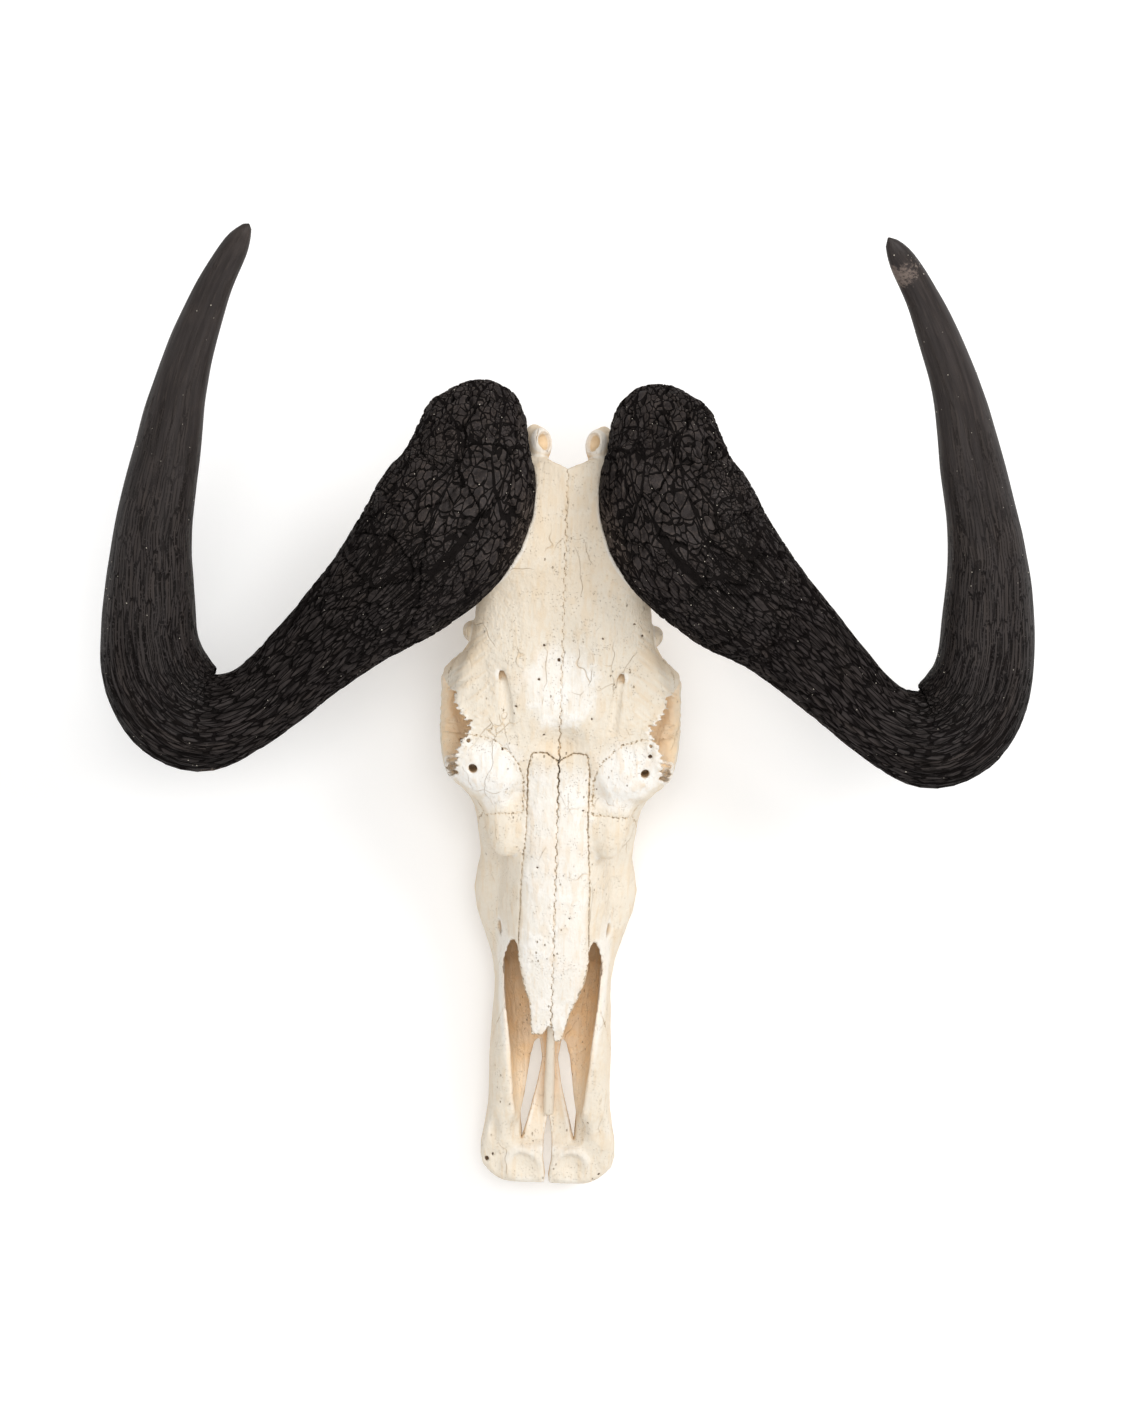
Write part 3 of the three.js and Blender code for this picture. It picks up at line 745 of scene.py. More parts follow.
def midline_gap(name, y):
    """The gap between left and right: least grown along the nose and the front of the forehead."""
    if name == "nasal":
        return LIGHTLY_GROWN + 0 * y
    if name == "frontal":
        return GROWN + (LIGHTLY_GROWN - GROWN) * ramp(y, 12, 2)
    return GROWN + 0 * y


def suture_fields(name, side, x, y, z):
    """How far a place is from the bone's own limits, and the same with the gaps of its sutures."""
    exact, gapped = -FAR + 0 * (x + y + z), -FAR
    if side:
        wave = 0.5 * np.sin(0.9 * y) + 0.35 * np.sin(2.3 * y + 1)
        exact = side * (wave - x)
        gapped = exact + midline_gap(name, y) / 2
    for other, (region, _, _, gap) in REGIONS.items():
        limit = region(x, y, z)
        if other == name:
            return np.maximum(exact, limit), np.maximum(gapped, limit + gap / 2)
        exact = np.maximum(exact, -limit)
        gapped = np.maximum(gapped, gap / 2 - limit)


def largest(points, quads):
    """The points and quads of the largest connected surface."""
    label = np.arange(len(points))
    while True:
        lower = label.copy()
        np.minimum.at(lower, quads.ravel(), np.repeat(label[quads].min(1), 4))
        lower = lower[lower]
        if (lower == label).all():
            break
        label = lower
    kept = quads[label[quads[:, 0]] == np.bincount(label).argmax()]
    used = np.unique(kept)
    place = np.zeros(len(points), int)
    place[used] = np.arange(len(used))
    return points[used], place[kept]


def quad_normals(points, quads):
    return np.cross(points[quads[:, 2]] - points[quads[:, 0]], points[quads[:, 3]] - points[quads[:, 1]])


def point_normals(points, quads):
    """A unit normal at each point, weighted by the area of the quads round it."""
    normals = np.zeros_like(points)
    for k in range(4):
        np.add.at(normals, quads[:, k], quad_normals(points, quads))
    return normals / np.maximum(np.linalg.norm(normals, axis=1, keepdims=True), TINY)


def outwards(points, quads):
    """The quads, all turned round if the body they enclose would be inside out."""
    volume = ((points[quads].mean(1) - points.mean(0)) * quad_normals(points, quads)).sum()
    return quads if volume > 0 else quads[:, ::-1]


def mesh_of(values, axes):
    """The surface where the values are 0, as points and outward quads."""
    grid = openvdb.FloatGrid()
    grid.copyFromArray(np.ascontiguousarray(values, np.float32))
    points, quads = grid.convertToQuads(isovalue=0.0)
    points, quads = largest(points.astype(float), quads.astype(np.int64))
    first = np.array([axis.ravel()[0] for axis in axes])
    spacing = axes[0].ravel()[1] - axes[0].ravel()[0]
    points = points * spacing + first
    return points, outwards(points, quads)


def new_piece(node, points, faces, material, slot, **marks):
    """A mesh object from points in millimetres, with its marks by point, in place of the node."""
    name = node + "_carved"
    mesh = bpy.data.meshes.new(name)
    placed = points * MM + np.array(ORIGIN)
    mesh.from_pydata(placed.tolist(), [], faces, shade_flat=False)
    for key, values in marks.items():
        vector = values.ndim == 2
        layer = mesh.attributes.new(key, "FLOAT_VECTOR" if vector else "FLOAT", "POINT")
        layer.data.foreach_set("vector" if vector else "value", values.astype(np.float32).ravel())
    mesh.materials.append(material)
    piece = bpy.data.objects.new(name, mesh)
    bpy.context.scene.collection.objects.link(piece)
    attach(piece, "root")
    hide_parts(node)
    return piece


def side_name(name, side):
    return name if side == 0 else name + ("_left" if side > 0 else "_right")


def fibres(points):
    """The fine streaks of the bone, which run along the face and out to the brow."""
    x, y, z = abs(points[:, 0]), points[:, 1], points[:, 2]
    brow = ramp(x, 26, 44) * ramp(y, -24, -8) * ramp(y, 70, 40)
    cross = x + brow * (0.6 * x + 0.8 * y - x)
    along = y + brow * (0.8 * x - 0.6 * y - y)
    return grain(np.stack([cross, along * 0.12, z * 0.5 * (1 - brow)], 1), 1.5, 21)


# Small holes in the bone seen from above: x, y and radius.
PITS = [
    (-10.5, 31.5, 1.2),
    (-1.8, 23.4, 1.5),
    (41, 45, 1.1),
    (46, 38.7, 1.2),
    (-13, 12, 1.1),
    (23, 36, 1),
    (-57.5, -24.5, 1.8),
    (52.5, -31, 1.7),
    (18, -10, 1),
    (-26, -4, 1),
    (-9, -20, 1),
    (-33, -29, 1.4),
    (15, -64, 1),
    (-11, -98, 1),
    (9, -128, 1),
    (32, -287, 1.2),
    (-37, -279, 2.2),
    (-33, -276, 1.3),
]


def pitting(x, y):
    """How deep inside one of the small holes a place is, from 0 to 1."""
    depths = [1 - ramp(np.hypot(x - pit_x, y - pit_y), radius * 0.4, radius) for pit_x, pit_y, radius in PITS]
    return np.maximum.reduce(depths)


def shelter(x, y, z):
    """1 on the inner walls of the nose, 0.75 on those of the eye sockets, and 0 on the outside."""
    nose = (1 - ramp(nose_room().distance(x, y, z), 0.8, 3.5)) * ramp(y, -266, -210)
    sockets = 1 - ramp(eye_hollow().distance(abs(x), y, z), 0.8, 3)
    return np.maximum(nose, 0.75 * sockets)


def bleaching(points, normals):
    """How much whiter or tanner the bone is painted: more than 0 on its heights, partly real bleaching and
    partly painted light where it faces up; less than 0 as painted shade on its steep sides, in the dip in
    front of the forehead, on the temples under the horns and towards the crown.
    """
    x, y = abs(points[:, 0]), points[:, 1]
    tear_bone = 1 - ramp(np.hypot(x - 41, y + 44), 12, 30)
    nose = (1 - ramp(x, 15, 26)) * ramp(y, -26, -46) * (0.75 - 0.6 * ramp(y, -225, -250))
    forehead = 0.8 * (1 - ramp(np.hypot(x / 26, (y - 8) / 28), 0.5, 1.3))
    temple = ramp(x, 36, 54) * ramp(y, 6, 26)
    dip = 1 - ramp(np.hypot(x / 15, (y + 26) / 11), 0.3, 1.3)
    crown = 0.45 * ramp(y, 30, 80) + 0.5 * ramp(y, 138, 144)
    white = np.maximum.reduce([tear_bone, nose, forehead]) * ramp(normals[:, 2], 0.1, 0.7)
    return white - 0.7 * temple - 0.5 * dip - crown - 0.9 * ramp(normals[:, 2], 0.55, -0.2)


# The braincase is mostly hidden, so its grid is this much coarser.
BRAINCASE_COARSER = 1.15

# How far out from the surface a hollow is felt for, and how far in a thin edge.
HOLLOW_REACH = 9
EDGE_REACH = 2.5


def make_bone(name, side, settings):
    """One bone, parted from the skull along its sutures, with its fine relief and the marks for its stains
    and its painted light and shade.
    """
    step = settings.grid_step / MM * (BRAINCASE_COARSER if name == "braincase" else 1)
    whole, hollowed = clay_skull(round(step, 3))
    clay = whole if name == "nasal" else hollowed
    _, low, high, _ = REGIONS[name]
    low_x, high_x = {1: (-2, high[0]), -1: (-high[0], 2), 0: (-high[0], high[0])}[side]
    distance, axes = clay.both_sides((low_x - 2 * step, *low[1:]), (high_x + 2 * step, *high[1:]))
    _, allowed = suture_fields(name, side, *axes)
    points, quads = mesh_of(np.maximum(distance, np.maximum(allowed, -axes[2])), axes)

    normals = point_normals(points, quads)
    x, y, z = points.T
    exact, _ = suture_fields(name, side, x, y, z)
    seam = 1 - ramp(abs(exact), 0.15, 0.8)
    flat = 1 - ramp(z, 0.5, 3)
    tooth = (1 - ramp(z, 14, 19)) * ramp(abs(x), 20, 25) * (name == "maxilla")
    # How enclosed the surface is here; the finish paints shade into the hollows from it.
    hollow = 1 - np.clip(clay.read(points + normals * HOLLOW_REACH) / HOLLOW_REACH, 0, 1)
    inside = shelter(x, y, z) * (ramp(normals[:, 2], 0.2, -0.1) if name == "nasal" else 1)
    # How thin the bone is here; the finish paints a highlight on the thin edges from it.
    edge = 1 - np.clip(clay.read(points - normals * EDGE_REACH) / -EDGE_REACH, 0, 1)
    streak = fibres(points)
    pit = pitting(x, y) * ramp(normals[:, 2], 0.2, 0.5)
    brow = ramp(abs(x), 34, 50) * ramp(y, -50, -30) * ramp(y, 40, 14)
    rough = 0.4 * grain(points, 11, 3) + 0.2 * grain(points, 4, 4) + 1.1 * grain(points, 42, 5)
    rough += (0.28 + 0.5 * brow) * streak
    swell = settings.bone_relief / MM * rough * (1 - 0.8 * tooth)
    lift = (swell - 0.3 * seam - 1.6 * pit) * (1 - flat)
    # Painted light and shade with real bleaching: whiter where the bone faces up, tan on its steep sides, on
    # the temples and in the dip of the forehead.
    bleach = bleaching(points, normals)
    points = points + normals * lift[:, None]
    new_piece(
        side_name(name, side),
        points,
        quads.tolist(),
        finish("bone", settings),
        "bone",
        seam=seam * (1 - inside),
        tooth=tooth,
        hollow=hollow,
        inside=inside,
        edge=edge,
        pit=pit,
        bleach=bleach,
        streak=streak,
    )


SEPTUM = [(-104, 20), (-104, 78), (-150, 74), (-180, 64), (-205, 50), (-232, 36), (-250, 30), (-252, 20)]


def make_septum(settings):
    """The thin upright blade in the middle of the nose, with a gutter along its top edge."""
    step = settings.grid_step / MM / 2
    clay = Clay((0, -256, 16), (8, -98, 84), step)
    clay.add(side_block(SEPTUM, -BLADE_THICK / 2, BLADE_THICK / 2, 0.8), blend=1)
    edge = [(0, y, z - 1.5, 1.6 + 1.6 * ramp(y, -180, -235), 2.2) for y, z in SEPTUM[1:7]]
    clay.add(tube(edge, 12), blend=2)
    distance, axes = clay.both_sides((-8, -256, 16), (8, -98, 84))
    room = nose_room().distance(*axes) + LIGHTLY_GROWN
    points, quads = mesh_of(np.maximum(distance, room), axes)
    normals = point_normals(points, quads)
    points = points + normals * (0.25 * grain(points, 9, 8) + 0.12 * grain(points, 2.5, 9))[:, None]
    hollow = 1 - ramp(points[:, 2] - np.interp(points[:, 1], *np.array(SEPTUM[6:0:-1]).T), -7, -1)
    new_piece("vomer", points, quads.tolist(), finish("inner_bone", settings), "inner_bone", hollow=hollow)


# Length of the cracked part of a horn. Beyond it the rings lie this many times as far apart.
BOSS_LENGTH = 175
ARM_COARSER = 5.5
CURVE_STEPS = 1200


def horn_form(side, rows_apart, around):
    """A horn as rings of points along its curve, and for each point its place on the straightened horn."""
    stations = np.array(HORN_STATIONS, float)
    number = np.arange(len(stations))
    past = np.clip(stations[:, 1] / stations[-1, 1], 0, None) * (number >= len(stations) / 2)
    name = "left" if side > 0 else "right"
    stations[:, 0] -= TIP_LEAN[name] * past**2
    stations[:, :2] += np.outer(np.clip((number - 4) / 3, 0, 1), ARM_DRIFT[name])
    rear_end, tip = stations[0] + (0, 3.5, -1, -7, -6), stations[-1] + (-2, 2.6, 2.3, -3, -3)
    stations = np.vstack([rear_end, stations, tip])
    dense = eased(stations, CURVE_STEPS)
    run = np.append(0, np.cumsum(np.linalg.norm(np.diff(dense[:, :3], axis=0), axis=1)))
    boss = np.arange(0, BOSS_LENGTH, rows_apart)
    beyond = np.arange(BOSS_LENGTH, run[-1], ARM_COARSER * rows_apart)
    along = np.concatenate([boss, beyond, [run[-1]]])
    centre = np.stack([np.interp(along, run, dense[:, k]) for k in range(3)], 1)
    half, thick = (np.interp(along, run, dense[:, k])[:, None] for k in (3, 4))
    ahead = np.gradient(centre, along, axis=0)
    ahead /= np.linalg.norm(ahead, axis=1, keepdims=True)
    across = np.cross(ahead, (0, 0, 1))
    across /= np.linalg.norm(across, axis=1, keepdims=True)
    raised = np.cross(across, ahead)

    angle = (np.arange(around) + 0.5) / around * 2 * np.pi
    angle += 0.35 * np.cos(angle)
    c, s = (np.sign(f) * abs(f) ** 0.9 for f in (np.cos(angle), np.sin(angle)))
    points = (
        centre[:, None]
        + (half * c)[..., None] * across[:, None]
        + (thick * s)[..., None] * raised[:, None]
    )
    straight = np.stack(np.broadcast_arrays(along[:, None], half * c, thick * s), -1)
    points[..., 0] *= side
    rows = len(along)
    cell = np.arange((rows - 1) * around).reshape(rows - 1, around)
    beside = np.roll(cell, -1, 1)
    quads = np.stack([cell, beside, beside + around, cell + around], -1).reshape(-1, 4)
    return points.reshape(-1, 3), straight.reshape(-1, 3), quads, rows


def make_horn(side, settings):
    """One horn: cracked like charred wood at its boss, split along its arm and finely streaked to the tip."""
    around = settings.horn_points_around
    points, straight, quads, rows = horn_form(side, settings.horn_row_step / MM, around)
    quads = outwards(points, quads)
    normals = point_normals(points, quads)
    s = straight[:, 0]
    boss = 1 - ramp(s, 120, 200)
    arm = ramp(s, 110, 180) * (1 - ramp(s, 260, 350))
    sleek = ramp(s, 200, 320)

    seed = 11 if side > 0 else 29
    shift = np.stack([grain(points, 7, seed + k) for k in range(3)], 1)
    small, tone = cobbles(points + 1.6 * shift, 7, seed)
    large, _ = cobbles(points + 2.5 * shift, 27, seed + 1)
    small_crack = 1 - ramp(small, 0.1, 0.7)
    large_crack = 1 - ramp(large, 0.05, 0.5)
    drift = np.stack([grain(straight * (0.3, 1, 1), 8, seed + k) for k in range(3)], 1)
    split, fibre_tone = cobbles(straight * (1 / 5, 1, 1) + 1.2 * drift, 3.4, seed + 2)
    split_crack = 1 - ramp(split, 0.05, 0.42)
    streak = grain(straight * (0.03, 1, 1), 1.5, seed + 6)
    streak += 0.6 * grain(straight * (0.05, 1, 1), 3.5, seed + 7)
    near_bone = clay_skull(round(settings.grid_step / MM, 3))[0].read(points.copy())
    rim = 1 - ramp(near_bone, 3, 13)
    arcs = np.sin(0.9 * s + 2.5 * grain(points, 16, seed + 10)) * ramp(s, 75, 25)

    deep = settings.crack_depth / MM
    lift = boss * (-0.35 * deep * small_crack - 1.3 * deep * large_crack + 0.5 * (tone - 0.5))
    lift += arm * (-0.7 * deep * split_crack + 0.35 * (fibre_tone - 0.5))
    lift += (0.08 + 0.16 * arm + 0.05 * sleek) * streak + 0.3 * arcs
    lift += 0.9 * grain(points, 38, seed + 8) + 0.4 * grain(points, 15, seed + 9) * (1 - 0.6 * sleek)
    lift *= ramp(s.max() - s, 0, 30)
    points = points + normals * lift[:, None]
    crack = np.clip(boss * np.maximum(0.25 * small_crack, 0.8 * large_crack) + 0.6 * arm * split_crack, 0, 1)
    tone = boss * tone + (1 - boss) * (0.5 + 0.35 * streak)

    ends = np.array([points[:around].mean(0), points[-around:].mean(0)])
    points = np.vstack([points, ends])
    ring = np.arange(around)
    last = (rows - 1) * around + ring
    first_fan = np.stack([np.roll(ring, -1), ring, np.full(around, len(points) - 2)], 1)
    last_fan = np.stack([last, np.roll(last, -1), np.full(around, len(points) - 1)], 1)
    if (quads[0] != (0, 1, 1 + around, around)).any():
        first_fan, last_fan = first_fan[:, ::-1], last_fan[:, ::-1]
    faces = quads.tolist() + first_fan.tolist() + last_fan.tolist()
    straight = np.vstack([straight, straight[0], straight[-1]])
    extra = np.zeros(2)
    name = side_name("horn", side)
    new_piece(
        name,
        points,
        faces,
        finish("horn", settings),
        "horn",
        crack=np.append(crack, extra),
        rim=np.append(rim, extra),
        tone=np.append(tone, extra + 0.5),
        straight=straight * MM,
    )


class Wire:
    """An output of a shader node that can be reckoned with like a number."""

    def __init__(self, socket):
        self.socket = socket

    def node(self, kind, settings, inputs, output=0):
        return add_node(self.socket.id_data, kind, settings, inputs, output)

    def math(self, operation, first, second):
        return self.node("Math", {"operation": operation}, {0: first, 1: second})

    def __add__(self, other):
        return self.math("ADD", self, other)

    __radd__ = __add__

    def __sub__(self, other):
        return self.math("SUBTRACT", self, other)

    def __rsub__(self, other):
        return self.math("SUBTRACT", other, self)

    def __mul__(self, other):
        return self.math("MULTIPLY", self, other)

    __rmul__ = __mul__

    def over(self, start, stop):
        """Rises smoothly from 0 at start to 1 at stop, or falls if start is the greater."""
        low, high, ends = (start, stop, (0, 1)) if start < stop else (stop, start, (1, 0))
        settings = {"interpolation_type": "SMOOTHSTEP"}
        return self.node("MapRange", settings, {0: self, 1: low, 2: high, 3: ends[0], 4: ends[1]})


def add_node(tree, kind, settings, inputs, output=0):
    """Any shader node: its settings are set first, then the values or wires of its sockets."""
    made = tree.nodes.new("ShaderNode" + kind)
    for key, value in settings.items():
        setattr(made, key, value)
    for key, value in inputs.items():
        if isinstance(value, Wire):
            tree.links.new(value.socket, made.inputs[key])
        else:
            made.inputs[key].default_value = value
    return Wire(made.outputs[output])


class Finish:
    """A material that is being made up from nodes."""

    def __init__(self, name):
        self.material = bpy.data.materials.new("carved_" + name)
        self.material.use_nodes = True
        self.tree = self.material.node_tree
        self.tree.nodes.clear()
        self.place = self.node("TexCoord", {}, {}, "Object")

    def node(self, kind, settings, inputs, output=0):
        return add_node(self.tree, kind, settings, inputs, output)

    def mark(self, name, output="Fac"):
        return self.node("Attribute", {"attribute_name": name}, {}, output)

    def stretched(self, place, scale):
        return self.node("VectorMath", {"operation": "MULTIPLY"}, {0: place, 1: scale})

    def noise(self, place, size, detail=4.0, roughness=0.55, distortion=0.0):
        inputs = {"Vector": place, "Scale": 1 / size, "Detail": detail, "Roughness": roughness}
        return self.node("TexNoise", {}, {**inputs, "Distortion": distortion})

    def wander(self, place, size, reach):
        """The place, shifted about by up to about the reach."""
        shift = self.node("TexNoise", {}, {"Vector": place, "Scale": 1 / size, "Detail": 1}, "Color")
        shift = self.node("VectorMath", {"operation": "SUBTRACT"}, {0: shift, 1: (0.5, 0.5, 0.5)})
        inputs = {0: shift, 1: (reach, reach, reach), 2: place}
        return self.node("VectorMath", {"operation": "MULTIPLY_ADD"}, inputs)

    def cells(self, place, size, feature="F1"):
        return self.node("TexVoronoi", {"feature": feature}, {"Vector": place, "Scale": 1 / size})

    def mix(self, first, second, factor):
        """Goes from the first colour to the second."""
        return self.node("Mix", {"data_type": "RGBA"}, {0: factor, 6: first, 7: second}, 2)

    def bump(self, height, distance, strength=1.0, under=None):
        inputs = {"Height": height, "Distance": distance, "Strength": strength}
        if under:
            inputs["Normal"] = under
        return self.node("Bump", {}, inputs)

    def close(self, color, roughness, normal, **fixed):
        """Ends in a Principled surface. The fixed sockets are the same all over."""
        named = {key.replace("_", " ").title().replace("Ior", "IOR"): value for key, value in fixed.items()}
        varied = {"Base Color": color, "Roughness": roughness, "Normal": normal}
        surface = self.node("BsdfPrincipled", {}, {**named, **varied})
        output = self.tree.nodes.new("ShaderNodeOutputMaterial")
        self.tree.links.new(surface.socket, output.inputs["Surface"])
        return self.material


def tinted(color, factor):
    """A colour made darker or lighter by a factor."""
    return (*(channel * factor for channel in color[:3]), 1)


ENAMEL_COLOR, TARTAR_AND_SHADE_COLOR = (0.62, 0.5, 0.33, 1), (0.2, 0.11, 0.05, 1)
# Orange-tan of the inner walls of the nose and the eye sockets: stain, partly a painted glow of light through
# the thin bone.
INSIDE_STAIN_AND_GLOW_COLOR = (0.95, 0.7, 0.43, 1)


def bone_finish(settings):
    """Bleached bone: white on its heights, partly as painted light; tan in its hollows, partly as painted
    shade; brown in its sutures, yellow on the teeth.
    """
    made = Finish("bone")
    place = made.place
    pale, stain_and_shade, deep = tuple(settings.bone_color), tuple(settings.stain_and_shade_color), tuple(settings.suture_color)
    blotch = made.noise(place, 0.05, 3).over(0.36, 0.68)
    small_blotch = made.noise(place, 0.011, 3, 0.62).over(0.42, 0.66)
    fibre = made.noise(made.stretched(place, (1, 0.14, 1)), 0.0013, 2, 0.6)
    chalky = made.noise(place, 0.0035, 3, 0.7)
    # Painted light and shade with real bleaching: the mark whitens the heights that face up and tans the
    # steep sides, the temples and the dip of the forehead.
    bleach = made.mark("bleach") + (small_blotch - 0.5) * 0.35
    color = made.mix(pale, tuple(settings.bleached_color), bleach.over(0.1, 1.0))
    color = made.mix(color, stain_and_shade, bleach.over(0.0, -1.2) * 0.5)
    color = made.mix(color, stain_and_shade, blotch * small_blotch * 0.3)
    color = made.mix(color, stain_and_shade, fibre.over(0.5, 0.75) * 0.2)
    color = made.mix(color, stain_and_shade, made.mark("streak").over(0.0, 0.7) * 0.25)

    # Painted shade with some real dirt: the more enclosed the surface, the more it turns to tan, and the
    # deepest hollows turn a darker tan.
    hollow = made.mark("hollow")
    dirt_and_shade = (hollow + (chalky - 0.5) * 0.5).over(0.22, 0.95)
    color = made.mix(color, stain_and_shade, dirt_and_shade * 0.7)
    color = made.mix(color, tinted(stain_and_shade, 0.55), (hollow + (blotch - 0.5) * 0.2).over(1.0, 1.4) * 0.4)
    # Inside the nose and the eye sockets: orange-tan stain, partly a painted glow of light through the thin
    # bone.
    color = made.mix(color, INSIDE_STAIN_AND_GLOW_COLOR, made.mark("inside") * (0.7 + small_blotch * 0.3))
    # Painted highlight: thin edges and rims lightened towards whitened bone.
    color = made.mix(color, tuple(settings.bleached_color), made.mark("edge").over(0.12, 0.6) * 0.6)

    apart = made.node("SeparateXYZ", {}, {0: place})
    middle = made.node("Math", {"operation": "ABSOLUTE"}, {0: apart - ORIGIN.x}).over(0.009, 0.0)
    pits = made.cells(made.stretched(place, (1, 0.6, 1)), 0.0032)
    pit_patch = (made.noise(place, 0.02, 3) + middle * 0.06).over(0.54, 0.64)
    pit = pits.over(0.2, 0.08) * pit_patch
    fine_pits = made.cells(place, 0.0014).over(0.26, 0.1) * made.noise(place, 0.012, 2).over(0.46, 0.58)
    crack_place = made.stretched(made.wander(place, 0.012, 0.008), (1, 0.35, 1))
    hairline = made.cells(crack_place, 0.016, "DISTANCE_TO_EDGE").over(0.014, 0.0)
    hairline = hairline * made.noise(place, 0.03, 2).over(0.52, 0.64)
    color = made.mix(color, tinted(stain_and_shade, 0.55), (pit + fine_pits * 0.5).over(0.0, 1.0) * 0.7)
    color = made.mix(color, stain_and_shade, hairline * 0.5)

    seam = made.mark("seam")
    crumbs = made.noise(place, 0.0022, 2, 0.7)
    color = made.mix(color, stain_and_shade, (seam + (crumbs - 0.5) * 0.9).over(0.2, 0.9) * 0.35)
    seam_line = seam.over(0.72, 0.98) * crumbs.over(0.4, 0.56)
    color = made.mix(color, tinted(stain_and_shade, 0.8), seam.over(0.6, 1.0) * 0.4)
    color = made.mix(color, tinted(stain_and_shade, 0.55), seam_line * 0.6)
    color = made.mix(color, deep, seam_line * made.noise(place, 0.006, 3).over(0.5, 0.62) * 0.8)
    color = made.mix(color, tinted(deep, 0.7), made.mark("pit").over(0.35, 0.75))

    # Teeth: yellow enamel turning to dark tartar in their valleys, partly real deposit and partly painted
    # shade, since the mask follows the hollows.
    tooth = made.mark("tooth")
    tartar_and_shade = (dirt_and_shade + fibre.over(0.5, 0.8) * 0.35).over(0.2, 1.1)
    enamel = made.mix(ENAMEL_COLOR, TARTAR_AND_SHADE_COLOR, tartar_and_shade)
    color = made.mix(color, enamel, tooth * 0.8)

    height = fibre * 0.4 + chalky * 0.6 + small_blotch * 0.5
    height = height - pit * 1.4 - fine_pits * 0.6 - hairline * 0.6 - seam_line
    roughness = 0.66 - tooth * 0.3 + dirt_and_shade * 0.15 + (chalky - 0.5) * 0.2
    return made.close(color, roughness, made.bump(height, 0.0008, 0.9), ior=1.45)


def inner_bone_finish(settings):
    """The thin bone inside the nose: tan below and lighter along its edge."""
    made = Finish("inner_bone")
    place = made.place
    chalky = made.noise(place, 0.004, 3, 0.65)
    grainy = made.noise(made.stretched(place, (1, 0.2, 0.6)), 0.0016, 3)
    below = (made.mark("hollow") + (chalky - 0.5) * 0.5).over(0.1, 0.9)
    color = made.mix(tinted(settings.bone_color, 0.95), settings.stain_and_shade_color, below * 0.9)
    color = made.mix(color, settings.suture_color, grainy.over(0.6, 0.8) * 0.4)
    height = grainy * 0.5 + chalky * 0.5
    return made.close(color, 0.7 + (chalky - 0.5) * 0.2, made.bump(height, 0.0005, 0.8), ior=1.45)


# Worn places on the horns: x, y and z of the middle, radius and strength.
WORN_PLACES = [((-203, -42, 126), 14, 1.0), ((173, 232, 292), 15, 0.6), ((243, 62, 160), 26, 0.4)]


